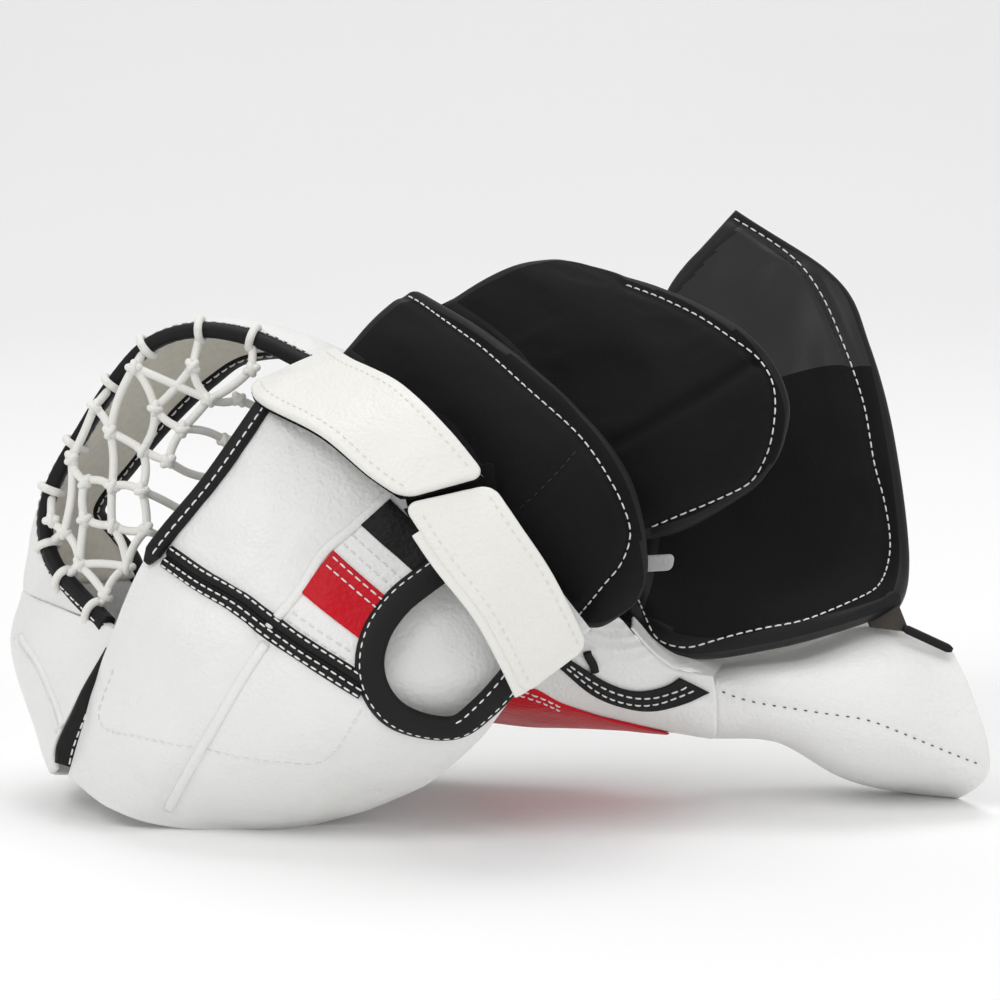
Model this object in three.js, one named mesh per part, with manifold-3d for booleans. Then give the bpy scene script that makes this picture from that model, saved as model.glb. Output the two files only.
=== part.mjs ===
// A goalie's catching glove, lying on its little-finger side.
// Millimetres. X runs from the fingertips to the cuff, Y away from the back of the hand, Z up.
// Each soft piece is a slab laid on a smooth surface through a short table of sections.
import * as THREE from "three";
import { mergeVertices } from "three/addons/utils/BufferGeometryUtils.js";
import Module from "manifold-3d";

const wasm = await Module();
wasm.setup();

// Driving dimensions
const LEATHER = 3; // wall of leather over its foam board
const RIM_WALL = 5; // the stiff pocket rim
const PATCH = 1.2; // a stripe or strip sewn on top
const BINDING_PROUD = 1; // how far a binding stands out on each side
const STRAP = 4;
const PAD_SWELL = 3; // how much thinner a pad is at its edge
const HAND_PAD = 11;
const LINING = 12;
const PALM_BOARD = 8;
const GAP = 0.35; // clear space between neighbours
const CORD = 3.8; // net cord
const KNOT = 7;
const CORD_SHORT = 2.45; // a cord stops this far from the middle of its knot
const CLOTH = 2;
const STALL_DEPTH = 8; // the finger stall lies this far inside the opening
const STALL_MARGIN = 8;
const BACK_STEPS = 16; // across the finger back
const EDGE_LINE = 1 / (BACK_STEPS + 1); // where its bound edge ends, as a share of its width
const EDGE_SLIT = 0.004;
const MIDDLE = { x: -3.7, y: -19.1 }; // of the whole glove, in the tables' coordinates
const CUT_DEPTH = 400; // longer than the glove is deep

const WHITE = { color: 0xf0f0ee, roughness: 0.55 };
const RED = { color: 0xd9112a, roughness: 0.55 };
const BLACK = { color: 0x141315, roughness: 0.7 };
const NYLON = { color: 0x1a191b, roughness: 0.9 };
const SMOOTH = { color: 0x2b2b2d, roughness: 0.35 };
const FELT = { color: 0xc5c2b6, roughness: 0.9 };
const CORD_WHITE = { color: 0xf3f2ec, roughness: 0.9 };
const TAB_GREY = { color: 0xb5b5b5, roughness: 0.5 };
const WEBBING_GREY = { color: 0x4a4846, roughness: 0.9 };

// Pocket rim: a section every few centimetres round the arch, from the thumb to the fingertips.
const RIM = [
  { net: [-64, -20, 178], crest: [-61, 8, 185], mouth: [-66, 36, 178] },
  { net: [-86, -10, 189], crest: [-84, 12, 195], mouth: [-88, 38, 186] },
  { net: [-107, -4, 198], crest: [-108, 17, 201], mouth: [-112, 42, 183] },
  { net: [-130, 0, 201], crest: [-132, 22, 198], mouth: [-127, 46, 171] },
  { net: [-150, 2, 195], crest: [-152, 26, 185], mouth: [-141, 49, 157] },
  { net: [-166, 4, 178], crest: [-166, 28, 166], mouth: [-154, 51, 143] },
  { net: [-179, 4, 158], crest: [-178, 29, 147], mouth: [-165, 52, 130] },
  { net: [-191, 3, 137], crest: [-191, 28, 129], mouth: [-174, 54, 120] },
  { net: [-195, 0, 120], crest: [-199, 26, 114], mouth: [-176, 58, 112] },
  { net: [-190, -8, 103], crest: [-202, 24, 100], mouth: [-173, 62, 101] },
  { net: [-176, -24, 91], crest: [-204, 20, 92], mouth: [-168, 65, 90] },
  { net: [-160, -44, 81], crest: [-204, 14, 86], mouth: [-164, 66, 80] },
];

// Fingertip wall: carries the rim on down to the floor.
const TIP_WALL = [
  { wedge: [-161, -45, 77], crest: [-205, 13, 83], mouth: [-164, 66, 77] },
  { wedge: [-173, -44, 57], crest: [-209, 12, 65], mouth: [-160, 66, 52] },
  { wedge: [-180, -42, 45], crest: [-202, 10, 39], mouth: [-154, 62, 28] },
  { wedge: [-187, -40, 30], crest: [-193, 2, 22], mouth: [-147, 58, 11] },
  { wedge: [-187, -37, 20], crest: [-186, -6, 11], mouth: [-141, 54, -1] },
];

// Black binding in the wedge between the fingertip wall and the finger back.
const TIP_BINDING = [
  { wall: [-166, -50, 73], shell: [-162, -48.5, 74] },
  { wall: [-175, -49, 57], shell: [-169, -46, 58] },
  { wall: [-181, -46, 45], shell: [-174.5, -44, 44] },
  { wall: [-187, -44, 32], shell: [-179, -41, 31] },
  { wall: [-188, -43, 24], shell: [-182, -39.5, 22] },
];

// Back of the fingers: rows from the hand straps down to the floor.
const FINGER_BACK = [
  [[-99, -50, 180], [-66, -62, 180], [-34, -76, 162], [0, -90, 136], [35, -94, 92]],
  [[-122, -60, 148], [-98, -80, 134], [-70, -92, 116], [-34, -104, 90], [6, -99, 67]],
  [[-145, -60, 114], [-121, -86, 102], [-96, -100, 89], [-54, -110, 67], [-10, -89, 44]],
  [[-165, -52, 72], [-144, -84, 61], [-119, -98, 47], [-78, -100, 34], [-30, -76, 23]],
  [[-184, -42, 18], [-164, -60, 8], [-136, -62, 0], [-89, -60, -1], [-55, -56, 6]],
];

// Underside between the finger back and the catching face.
const SIDE_WALL = [
  [[-181, -34, 17], [-162, -52, 12], [-134, -56, 7], [-89, -54, 7], [-58, -48, 10]],
  [[-174, -4, 17], [-156, -6, 16], [-130, -8, 14], [-92, -8, 14], [-54, -8, 18]],
  [[-139, 42, 5], [-124, 40, 6], [-108, 37, 7], [-84, 32, 9], [-46, 23, 20]],
];

// Catching face: rows from the thumb down, columns from the pocket to the wrist.
const CATCHING_FACE = [
  [[-74, 36, 166], [-30, 42, 170], [14, 44, 174], [52, 48, 178]],
  [[-88, 20, 142], [-36, 18, 144], [12, 22, 146], [53, 34, 150]],
  [[-106, 14, 112], [-46, 6, 108], [8, 8, 108], [53, 18, 108]],
  [[-150, 48, 76], [-70, 20, 64], [-6, 12, 64], [52, 12, 70]],
  [[-137, 56, 6], [-84, 46, 12], [-26, 34, 28], [48, 26, 44]],
];

// Thumb: a roll over the top edge of the catching face.
const THUMB = [
  [[-58, 0, 172], [-58, 22, 182], [-60, 50, 178], [-66, 52, 158]],
  [[-24, -4, 176], [-22, 22, 188], [-22, 56, 184], [-22, 58, 162]],
  [[18, 6, 180], [20, 28, 190], [20, 60, 188], [18, 62, 166]],
  [[52, 36, 186], [54, 48, 194], [54, 66, 192], [52, 66, 170]],
];

// Pad over the back of the hand: a row for each section from the top edge to the lower tip.
const BACK_HAND_PAD = [
  [[-71, -10, 191], [-57, -6, 206], [-38, 4, 219]],
  [[-47, -42, 178], [-26, -46, 193], [-4, -37, 205]],
  [[-22, -66, 166], [3, -76, 172], [29, -62, 181]],
  [[-2, -84, 136], [24, -92, 143], [52, -80, 153]],
  [[16, -84, 108], [39, -92, 110], [60, -82, 118]],
  [[28, -78, 88], [41, -82, 89], [56, -76, 99]],
];

// Black cloth that closes the top of the hand hollow, from the pads down to the thumb.
const HAND_GUSSET = [
  [[-62, 12, 188], [-30, 23, 207], [10, 43, 220], [50, 46, 213]],
  [[-60, 22, 186], [-28, 32, 200], [12, 48, 208], [52, 52, 206]],
  [[-58, 32, 184], [-26, 42, 192], [18, 51, 195], [53, 57, 200]],
];

// Wrist pad, tucked behind the hand pad.
const WRIST_PAD = [
  [[-25, 26, 210], [3, 22, 227], [28, 30, 228]],
  [[7, -16, 195], [36, -16, 210], [69, -2, 220]],
  [[25, -42, 169], [62, -42, 186], [103, -27, 204]],
  [[35, -54, 142], [76, -56, 159], [119, -40, 177]],
  [[44, -56, 119], [76, -58, 126], [113, -46, 146]],
];

// Lining pad on the palm side of the wrist: rows from the top corner to the lower edge.
const CUFF_LINING = [
  [[60, 52, 194], [70, 56, 212], [79, 60, 223], [88, 64, 232], [102, 70, 246]],
  [[62, 46, 186], [76, 48, 197], [96, 54, 207], [123, 60, 219], [146, 64, 217]],
  [[62, 42, 172], [83, 42, 177], [106, 46, 182], [135, 52, 190], [162, 60, 187]],
  [[63, 28, 141], [90, 28, 140], [117, 28, 142], [144, 32, 146], [170, 38, 152]],
  [[58, 4, 102], [86, 2, 97], [116, 4, 98], [147, 8, 103], [175, 14, 106]],
  [[52, -28, 88], [75, -38, 76], [111, -36, 81], [143, -26, 88], [168, -12, 95]],
];

// Cuff shell: rows from its top edge over the roll to the edge that meets the floor.
const CUFF_SHELL = [
  [[84, -8, 60], [121, -6, 65], [155, -2, 74], [190, -8, 68]],
  [[84, -36, 59], [121, -37, 62], [155, -38, 62], [197, -28, 53]],
  [[84, -42, 52], [119, -48, 50], [152, -52, 42], [204, -38, 28]],
  [[84, -34, 36], [119, -36, 32], [150, -34, 19], [203, -26, 11]],
  [[84, 4, 25], [116, 8, 23], [146, 6, 7], [190, 1, -2]],
  [[84, 22, 44], [116, 26, 42], [148, 26, 34], [187, 18, 32]],
  [[84, 22, 78], [116, 25, 80], [148, 27, 80], [172, 28, 74]],
];

// Heel of the palm, behind the lower strap: rows from the hand hollow to the underside.
const PALM_HEEL = [
  [[31, -60, 92], [46, -57, 90], [58, -50, 76], [70, -44, 63], [83, -40, 59]],
  [[27, -58, 75], [44, -52, 62], [58, -47, 56], [70, -43, 56], [83, -42, 54]],
  [[22, -56, 66], [38, -51, 55], [54, -46, 49], [68, -42, 47], [83, -40, 46]],
  [[8, -36, 50], [24, -28, 41], [49, -24, 37], [66, -25, 34], [83, -28, 32]],
  [[-14, 16, 30], [14, 10, 28], [42, 6, 28], [62, 6, 27], [83, 6, 25]],
];
// Red corner of the heel, and the small loop above its strip, seen square on.
const HEEL_RED = [[-20, 70], [15, 57], [23, 51], [41, 42], [70, 37], [70, 20], [-20, 20]];
const HEEL_LOOP = [[36, 78], [41, 77], [43, 65], [38, 65]];

// Straps over the back of the hand: sections from the thumb side down.
const UPPER_STRAP = [
  { front: [-105, -31, 188], back: [-73, -12, 195] },
  { front: [-99, -54, 181], back: [-63, -38, 193] },
  { front: [-74, -86, 169], back: [-41, -68, 186] },
  { front: [-54, -100, 155], back: [-22, -90, 172] },
  { front: [-40, -108, 147], back: [-7, -100, 155] },
];
const LOWER_STRAP = [
  { front: [-40, -108, 143], back: [-4, -98, 149] },
  { front: [-26, -115, 124], back: [6, -107, 137] },
  { front: [-10, -119, 104], back: [17, -110, 121] },
  { front: [0, -115, 85], back: [26, -109, 104] },
  { front: [7, -109, 69], back: [33, -103, 88] },
];
const HOOK_PAD = [
  [[-40, -99, 154], [-2, -89, 160]],
  [[-39, -100, 145], [-2, -90, 151]],
  [[-36, -102, 137], [0, -92, 143]],
];

// Small trim on the cuff.
const TAB = [
  [[60, -63, 116], [70, -63, 116]],
  [[60, -63, 109], [70, -63, 109]],
];
const WEBBING = [
  [[156, -6, 83], [171, -5, 82]],
  [[158, -8, 75], [170, -6, 73]],
];
const PIPING = { from: [166, -13, 75.5], to: [190, -15, 69], width: 3 };

// Net knots, then the cords between them.
const NET_KNOTS = {
  a1: [-156, -4, 186],
  a2: [-173, -3, 169],
  a3: [-183, -4, 147],
  a4: [-192, -6, 121],
  a5: [-186, -10, 117],
  a6: [-131, -7, 187],
  a7: [-106, -10, 186],
  b1: [-147, -8, 169],
  b2: [-166, -8, 159],
  b3: [-124, -10, 173],
  b4: [-135, -13, 161],
  b5: [-152, -13, 152],
  b6: [-141, -17, 148],
  c1: [-152, -20, 136],
  c2: [-165, -15, 137],
  c3: [-177, -9, 138],
  c4: [-177, -14, 123],
  c5: [-165, -19, 121],
  c6: [-150, -24, 120],
  d1: [-179, -18, 104],
  d2: [-158, -28, 105],
  d3: [-167, -30, 93],
  e1: [-112, -2, 172],
  e2: [-118, 0, 154],
  e3: [-124, -2, 138],
  e4: [-132, -6, 122],
  f1: [-87, 18, 158],
  f2: [-96, 11, 144],
  f3: [-104, 6, 130],
  f4: [-115, 3, 116],
  f5: [-128, 6, 101],
};
const NET_CORDS = [
  "a1-b3", "a1-b1", "a1-b2", "a2-b2", "a2-a3", "a3-c3", "a3-a5", "a4-a5", "b1-a6", "b1-b5", "b1-b4",
  "b2-b5", "b2-c2", "a6-b3", "a7-b3", "b3-b4", "b3-e1", "b4-e2", "b4-b6", "b5-b6", "b5-c1", "b6-e3",
  "c1-e4", "c1-c6", "c2-c3", "c2-c1", "c2-c5", "c3-c4", "a5-d1", "c4-c5", "c4-d1", "c5-d2", "c5-c6",
  "d1-d2", "d1-d3", "d2-d3", "d2-c6", "e1-f1", "e2-f2", "e3-f3", "e4-f4", "c6-f5", "f1-f2", "f2-f3",
  "f3-f4", "f4-f5",
];

// Outlines on the finger back, seen square on: x and z of each corner.
const BLACK_STRIPE = [[-46, 143], [-58, 133], [-35, 115], [-24, 124]];
const RED_STRIPE = [[-69, 123], [-82, 107], [-58, 90], [-46, 105]];
const SEAM_STRIP = [
  { high: [-139, 122], low: [-145, 113] },
  { high: [-126, 116], low: [-125, 105] },
  { high: [-107, 108], low: [-107, 96] },
  { high: [-92, 97], low: [-92, 88] },
  { high: [-66, 82], low: [-66, 73] },
  { high: [-61, 79], low: [-58, 68] },
];
const OPENING = [
  { outer: [-14, 132], inner: [-8, 122] },
  { outer: [-35, 118], inner: [-28, 109] },
  { outer: [-48, 109], inner: [-37, 101] },
  { outer: [-57, 96], inner: [-46, 90] },
  { outer: [-60, 81], inner: [-49, 79] },
  { outer: [-56, 67], inner: [-46, 70] },
  { outer: [-46, 55], inner: [-39, 63] },
  { outer: [-32, 48], inner: [-30, 58] },
  { outer: [-19, 46], inner: [-19, 59] },
  { outer: [-7, 55], inner: [-11, 66] },
  { outer: [5, 68], inner: [0, 77] },
  { outer: [14, 80], inner: [8, 88] },
];

const vector = (p) => new THREE.Vector3(...p);

// Surface through a table of rows: u runs along a row and v from row to row. Its normal faces
// the side from which u runs right and v runs down.
function surface(rows) {
  const curve = (points) => new THREE.CatmullRomCurve3(points, false, "catmullrom", 0.5);
  const curves = rows.map((row) => curve(row.map(vector)));
  const at = (u, v) => curve(curves.map((row) => row.getPoint(u))).getPoint(v);
  const step = 1e-3;
  const inside = (t) => Math.min(Math.max(t, step), 1 - step);
  const normal = (u, v) => {
    const [a, b] = [inside(u), inside(v)];
    const along = at(a + step, b).sub(at(a - step, b));
    const down = at(a, b + step).sub(at(a, b - step));
    return down.cross(along).normalize();
  };
  return { at, normal };
}

// Closed mesh as a solid, turned right side out.
function solid(positions, triangles) {
  const make = (tri) =>
    new wasm.Manifold(
      new wasm.Mesh({
        numProp: 3,
        vertProperties: new Float32Array(positions),
        triVerts: new Uint32Array(tri),
      }),
    );
  const made = make(triangles);
  if (made.volume() > 0) return made;
  const turned = [];
  for (let i = 0; i < triangles.length; i += 3) {
    turned.push(triangles[i], triangles[i + 2], triangles[i + 1]);
  }
  return make(turned);
}

// Slab on a surface between two offsets, over a range of it. crown swells its face.
function slab(on, { u = [0, 1], v = [0, 1], face = 0, back = 0, crown = 0, steps = [8, 8] }) {
  const [nu, nv] = steps;
  const positions = [];
  for (const side of [0, 1]) {
    for (let j = 0; j <= nv; j += 1) {
      for (let i = 0; i <= nu; i += 1) {
        const a = THREE.MathUtils.lerp(...u, i / nu);
        const b = THREE.MathUtils.lerp(...v, j / nv);
        const swell = Math.sqrt(Math.abs(Math.sin((Math.PI * i) / nu) * Math.sin((Math.PI * j) / nv)));
        const offset = side === 0 ? face + crown * (swell - 1) : back;
        const p = on.at(a, b).addScaledVector(on.normal(a, b), offset);
        positions.push(p.x, p.y, p.z);
      }
    }
  }
  const index = (side, i, j) => side * (nu + 1) * (nv + 1) + j * (nu + 1) + i;
  const triangles = [];
  const quad = (a, b, c, d) => triangles.push(a, b, c, a, c, d);
  for (let j = 0; j < nv; j += 1) {
    for (let i = 0; i < nu; i += 1) {
      quad(index(0, i, j), index(0, i + 1, j), index(0, i + 1, j + 1), index(0, i, j + 1));
      quad(index(1, i, j), index(1, i, j + 1), index(1, i + 1, j + 1), index(1, i + 1, j));
    }
  }
  for (let i = 0; i < nu; i += 1) {
    quad(index(0, i + 1, 0), index(0, i, 0), index(1, i, 0), index(1, i + 1, 0));
    quad(index(0, i, nv), index(0, i + 1, nv), index(1, i + 1, nv), index(1, i, nv));
  }
  for (let j = 0; j < nv; j += 1) {
    quad(index(0, 0, j), index(0, 0, j + 1), index(1, 0, j + 1), index(1, 0, j));
    quad(index(0, nu, j + 1), index(0, nu, j), index(1, nu, j), index(1, nu, j + 1));
  }
  return solid(positions, triangles);
}

// Any closed three.js geometry as a solid.
function solidOf(geometry) {
  const bare = geometry.clone();
  bare.deleteAttribute("normal");
  bare.deleteAttribute("uv");
  const merged = mergeVertices(bare, 1e-4);
  return solid([...merged.attributes.position.array], [...merged.index.array]);
}

// Prism with an outline in X and Z, through the whole depth of the glove.
function prism(points) {
  const shape = new THREE.Shape(points.map(([x, z]) => new THREE.Vector2(x, z)));
  const geometry = new THREE.ExtrudeGeometry(shape, { depth: CUT_DEPTH, bevelEnabled: false });
  return solidOf(geometry.translate(0, 0, -CUT_DEPTH / 2).rotateX(Math.PI / 2));
}

// Closed outline pushed outwards by a margin.
function grown(points, margin) {
  const line = points.map(([x, z]) => new THREE.Vector2(x, z));
  const turn = Math.sign(THREE.ShapeUtils.area(line));
  return line.map((p, i) => {
    const before = line[(i + line.length - 1) % line.length];
    const after = line[(i + 1) % line.length];
    const along = after.clone().sub(before).normalize();
    return [p.x + turn * along.y * margin, p.y - turn * along.x * margin];
  });
}

// Bar with a square section from one point to another, short of both by an inset.
function bar(from, to, width, inset = 0) {
  const geometry = new THREE.BoxGeometry(width, from.distanceTo(to) - 2 * inset, width);
  const middle = from.clone().add(to).divideScalar(2);
  const turn = new THREE.Quaternion().setFromUnitVectors(
    new THREE.Vector3(0, 1, 0),
    to.clone().sub(from).normalize(),
  );
  return solidOf(geometry.applyQuaternion(turn).translate(...middle.toArray()));
}

// Largest body of a solid: a cut can leave crumbs.
function largest(made) {
  return made.decompose().reduce((best, body) => (body.volume() > best.volume() ? body : best));
}

// What lies above the floor, which leaves a flat place where a piece rests.
function onFloor(made) {
  const below = new THREE.BoxGeometry(CUT_DEPTH * 2, CUT_DEPTH * 2, CUT_DEPTH);
  return made.subtract(solidOf(below.translate(0, 0, -CUT_DEPTH / 2)));
}

const glove = new THREE.Group();

function add(name, made, finish) {
  const mesh = largest(made).getMesh();
  const geometry = new THREE.BufferGeometry();
  geometry.setAttribute("position", new THREE.BufferAttribute(mesh.vertProperties, 3));
  geometry.setIndex(new THREE.BufferAttribute(mesh.triVerts, 1));
  geometry.computeVertexNormals();
  const part = new THREE.Mesh(geometry, new THREE.MeshStandardMaterial({ metalness: 0, ...finish }));
  part.name = name;
  glove.add(part);
}

const rim = surface(RIM.map(({ net, crest, mouth }) => [net, crest, mouth]));
const tipWall = surface(TIP_WALL.map(({ wedge, crest, mouth }) => [wedge, crest, mouth]));
const tipBinding = surface(TIP_BINDING.map(({ wall, shell }) => [wall, shell]));
const fingerBack = surface(FINGER_BACK);
const catchingFace = surface(CATCHING_FACE);
const backHandPad = surface(BACK_HAND_PAD);
const wristPad = surface(WRIST_PAD);
const cuffLining = surface(CUFF_LINING);
const upperStrap = surface(UPPER_STRAP.map(({ front, back }) => [front, back]));
const lowerStrap = surface(LOWER_STRAP.map(({ front, back }) => [front, back]));
const hookPad = surface(HOOK_PAD);
const palmHeel = surface(PALM_HEEL);

// Room for a slab that a neighbour must leave
const roomFor = (on, range) => slab(on, { ...range, face: range.face + GAP, back: range.back - GAP });
const handPad = { face: 1, back: -HAND_PAD, crown: PAD_SWELL, steps: [8, 10] };
const wrist = { face: 1, back: -HAND_PAD, crown: PAD_SWELL, steps: [8, 8] };
const lining = { face: 0, back: -LINING, crown: PAD_SWELL, steps: [8, 10] };
const liningBack = { face: -LINING - GAP, back: -LINING - GAP - LEATHER, steps: [8, 10] };
const strap = { face: STRAP, back: 0, steps: [3, 12] };
const padRoom = roomFor(backHandPad, { ...handPad, face: handPad.face + GAP });
const liningRoom = roomFor(cuffLining, { ...lining, back: liningBack.back });
const strapRoom = roomFor(upperStrap, strap).add(roomFor(lowerStrap, strap));

// Pocket rim with its two bound edges
const netEdge = 0.13;
const mouthEdge = 0.86;
const rimSlit = 0.016;
const rimStart = 0.015;
const rimSteps = 22;
const rimWall = { face: RIM_WALL / 2, back: -RIM_WALL / 2 };
const boundWall = { face: rimWall.face + BINDING_PROUD, back: rimWall.back - BINDING_PROUD };
const rimBody = { ...rimWall, u: [netEdge, mouthEdge], v: [rimStart, 1], steps: [5, rimSteps] };
const netBinding = { ...boundWall, u: [0, netEdge - rimSlit], steps: [1, rimSteps] };
const mouthBinding = { ...boundWall, u: [mouthEdge + rimSlit, 1], steps: [1, rimSteps] };
add("pocket_rim", slab(rim, rimBody).subtract(padRoom), FELT);
add("rim_net_binding", slab(rim, netBinding).subtract(padRoom), BLACK);
add("rim_mouth_binding", slab(rim, mouthBinding).subtract(padRoom), BLACK);
add("fingertip_wall", onFloor(slab(tipWall, { back: -LEATHER, steps: [8, 8] })), WHITE);

// Pocket net: square knots and the cords between them
const knot = Object.fromEntries(Object.entries(NET_KNOTS).map(([name, p]) => [name, vector(p)]));
const cords = NET_CORDS.map((pair) => {
  const [from, to] = pair.split("-").map((name) => knot[name]);
  return bar(from, to, CORD, CORD_SHORT);
});
const lumps = Object.values(knot).map((p) =>
  solidOf(new THREE.BoxGeometry(KNOT, KNOT, KNOT).translate(p.x, p.y, p.z)),
);
add("pocket_net", wasm.Manifold.union([...cords, ...lumps]), CORD_WHITE);

// Finger back with its opening, bindings and stripes
const shell = { u: [EDGE_LINE, 1], face: 0, back: -LEATHER, steps: [BACK_STEPS, 12] };
const shellCorner = { ...shell, u: [0, 2 * EDGE_LINE], v: [0.5, 1], steps: [2, 6] };
const boundLeather = { face: BINDING_PROUD, back: -LEATHER - BINDING_PROUD };
const panelEdge = { ...boundLeather, u: [0, EDGE_LINE - EDGE_SLIT], v: [0, 0.5 - EDGE_SLIT], steps: [1, 6] };
const holeOuter = OPENING.map(({ outer }) => outer);
const holeInner = OPENING.map(({ inner }) => inner);
const holeRoom = prism(grown(holeOuter, GAP));
const shellBody = slab(fingerBack, shell).add(slab(fingerBack, shellCorner)).subtract(holeRoom);
add("finger_back", onFloor(largest(shellBody).subtract(padRoom)), WHITE);
add("finger_back_binding", slab(fingerBack, panelEdge), BLACK);
const ring = slab(fingerBack, { ...shell, ...boundLeather });
const openingBinding = ring.intersect(prism(holeOuter)).subtract(prism(holeInner));
add("opening_binding", largest(openingBinding).subtract(padRoom), BLACK);
const stall = { u: [0.5, 0.97], v: [0.1, 0.75], face: -STALL_DEPTH, back: -STALL_DEPTH - LEATHER };
const stallOutline = prism(grown(holeInner, STALL_MARGIN));
add("finger_stall", slab(fingerBack, stall).intersect(stallOutline).subtract(padRoom), WHITE);
const sewnOn = slab(fingerBack, { ...shell, face: GAP + PATCH, back: GAP }).subtract(holeRoom);
add("stripe_black", sewnOn.intersect(prism(BLACK_STRIPE)), BLACK);
add("stripe_red", sewnOn.intersect(prism(RED_STRIPE)), RED);
const stripOutline = [...SEAM_STRIP.map(({ high }) => high), ...SEAM_STRIP.map(({ low }) => low).reverse()];
add("finger_seam_strip", sewnOn.intersect(prism(stripOutline)), BLACK);
add("tip_binding", slab(tipBinding, { back: -LEATHER, steps: [1, 8] }), BLACK);

// Underside, catching face and thumb
add("side_wall", slab(surface(SIDE_WALL), { face: 0, back: -LEATHER }), WHITE);
add("catching_face", slab(catchingFace, { face: PALM_BOARD, back: 0, steps: [9, 12] }), WHITE);
add("thumb", slab(surface(THUMB), { face: 0, back: -LEATHER, steps: [9, 6] }), WHITE);

// Pads over the hand and wrist, the cloth beside them, and the cuff's lining and back
add("back_hand_pad", slab(backHandPad, handPad).subtract(strapRoom), NYLON);
add("wrist_pad", slab(wristPad, wrist).subtract(padRoom), NYLON);
const gusset = slab(surface(HAND_GUSSET), { face: 0, back: -CLOTH, steps: [6, 4] });
const wristRoom = roomFor(wristPad, { ...wrist, back: wrist.back - GAP });
add("hand_gusset", gusset.subtract(padRoom).subtract(wristRoom).subtract(liningRoom), NYLON);
add("cuff_lining", slab(cuffLining, lining), SMOOTH);
add("cuff_back", slab(cuffLining, liningBack), WHITE);

// Straps
add("upper_strap", slab(upperStrap, strap), WHITE);
add("lower_strap", slab(lowerStrap, strap), WHITE);
add("strap_hook_pad", slab(hookPad, { face: 0, back: -PATCH, steps: [2, 3] }), BLACK);

// Cuff shell, heel and small trim
const cuffBody = slab(surface(CUFF_SHELL), { face: 0, back: -LEATHER, steps: [9, 18] });
add("cuff_shell", onFloor(cuffBody.subtract(liningRoom)), WHITE);
const heelSteps = [8, 12];
const onHeel = { face: GAP + PATCH, back: GAP, steps: heelSteps };
const heelStrip = { ...onHeel, v: [0.25, 0.5], steps: [8, 3] };
const heelRoom = roomFor(palmHeel, heelStrip);
add("palm_heel", slab(palmHeel, { face: 0, back: -LEATHER, steps: heelSteps }), WHITE);
add("heel_strip", slab(palmHeel, heelStrip), BLACK);
add("heel_red", slab(palmHeel, onHeel).intersect(prism(HEEL_RED)).subtract(heelRoom), RED);
add("heel_loop", slab(palmHeel, onHeel).intersect(prism(HEEL_LOOP)).subtract(heelRoom), BLACK);
add("cuff_tab", slab(surface(TAB), { face: 0, back: -PATCH, steps: [1, 1] }), TAB_GREY);
const webbing = slab(surface(WEBBING), { face: 0, back: -PATCH, steps: [1, 1] });
add("cuff_webbing", webbing.subtract(liningRoom), WEBBING_GREY);
add("cuff_piping", bar(vector(PIPING.from), vector(PIPING.to), PIPING.width).subtract(liningRoom), BLACK);

// The origin lies on the floor under the middle of the glove.
glove.position.set(-MIDDLE.x, -MIDDLE.y, 0);
const part = new THREE.Group();
part.add(glove);
export default part;
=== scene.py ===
"""Looks of a goalie's catching glove that lies on its little-finger side.

Tables are in millimetres: x from the fingertips to the cuff, y away from the back of the hand, z up.
Each leather or padded piece is a panel on a smooth surface through a short table of sections.
"""
from math import cos, pi, radians, sin

import bpy
import bmesh
import numpy as np
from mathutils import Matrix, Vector, noise
from mathutils.bvhtree import BVHTree


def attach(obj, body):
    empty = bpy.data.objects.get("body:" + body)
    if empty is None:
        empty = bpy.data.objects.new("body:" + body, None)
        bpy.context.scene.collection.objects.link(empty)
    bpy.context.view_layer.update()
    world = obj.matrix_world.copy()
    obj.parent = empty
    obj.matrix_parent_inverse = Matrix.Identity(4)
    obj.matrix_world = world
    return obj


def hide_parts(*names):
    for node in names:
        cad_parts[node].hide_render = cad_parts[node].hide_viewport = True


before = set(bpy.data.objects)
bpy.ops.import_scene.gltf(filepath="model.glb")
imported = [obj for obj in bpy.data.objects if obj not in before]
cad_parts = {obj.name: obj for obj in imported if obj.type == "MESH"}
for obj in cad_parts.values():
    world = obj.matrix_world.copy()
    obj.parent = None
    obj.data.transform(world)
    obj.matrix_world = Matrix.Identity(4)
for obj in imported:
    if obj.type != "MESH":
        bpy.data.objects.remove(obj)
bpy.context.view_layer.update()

MM = 0.001
TO_FRAME = np.array([3.7, 19.1, 0.0])  # from the tables' origin to the frame's

# Camera
LOOK_AT = (0.0020, 0.0191, 0.1284)
CAMERA_AWAY = 1.7
CAMERA_ELEVATION = 10
LENS = 144
SENSOR = 36

# Softboxes (place, size in metres, watts), and the light from all round
SOFTBOXES = {
    "key": ((-1.1, -1.4, 1.9), 0.9, 14),
    "fill": ((1.6, -1.8, 1.0), 1.6, 6),
    "top": ((0.2, 0.5, 2.2), 1.4, 15),
}
SURROUNDING_LIGHT = 0.62

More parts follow.
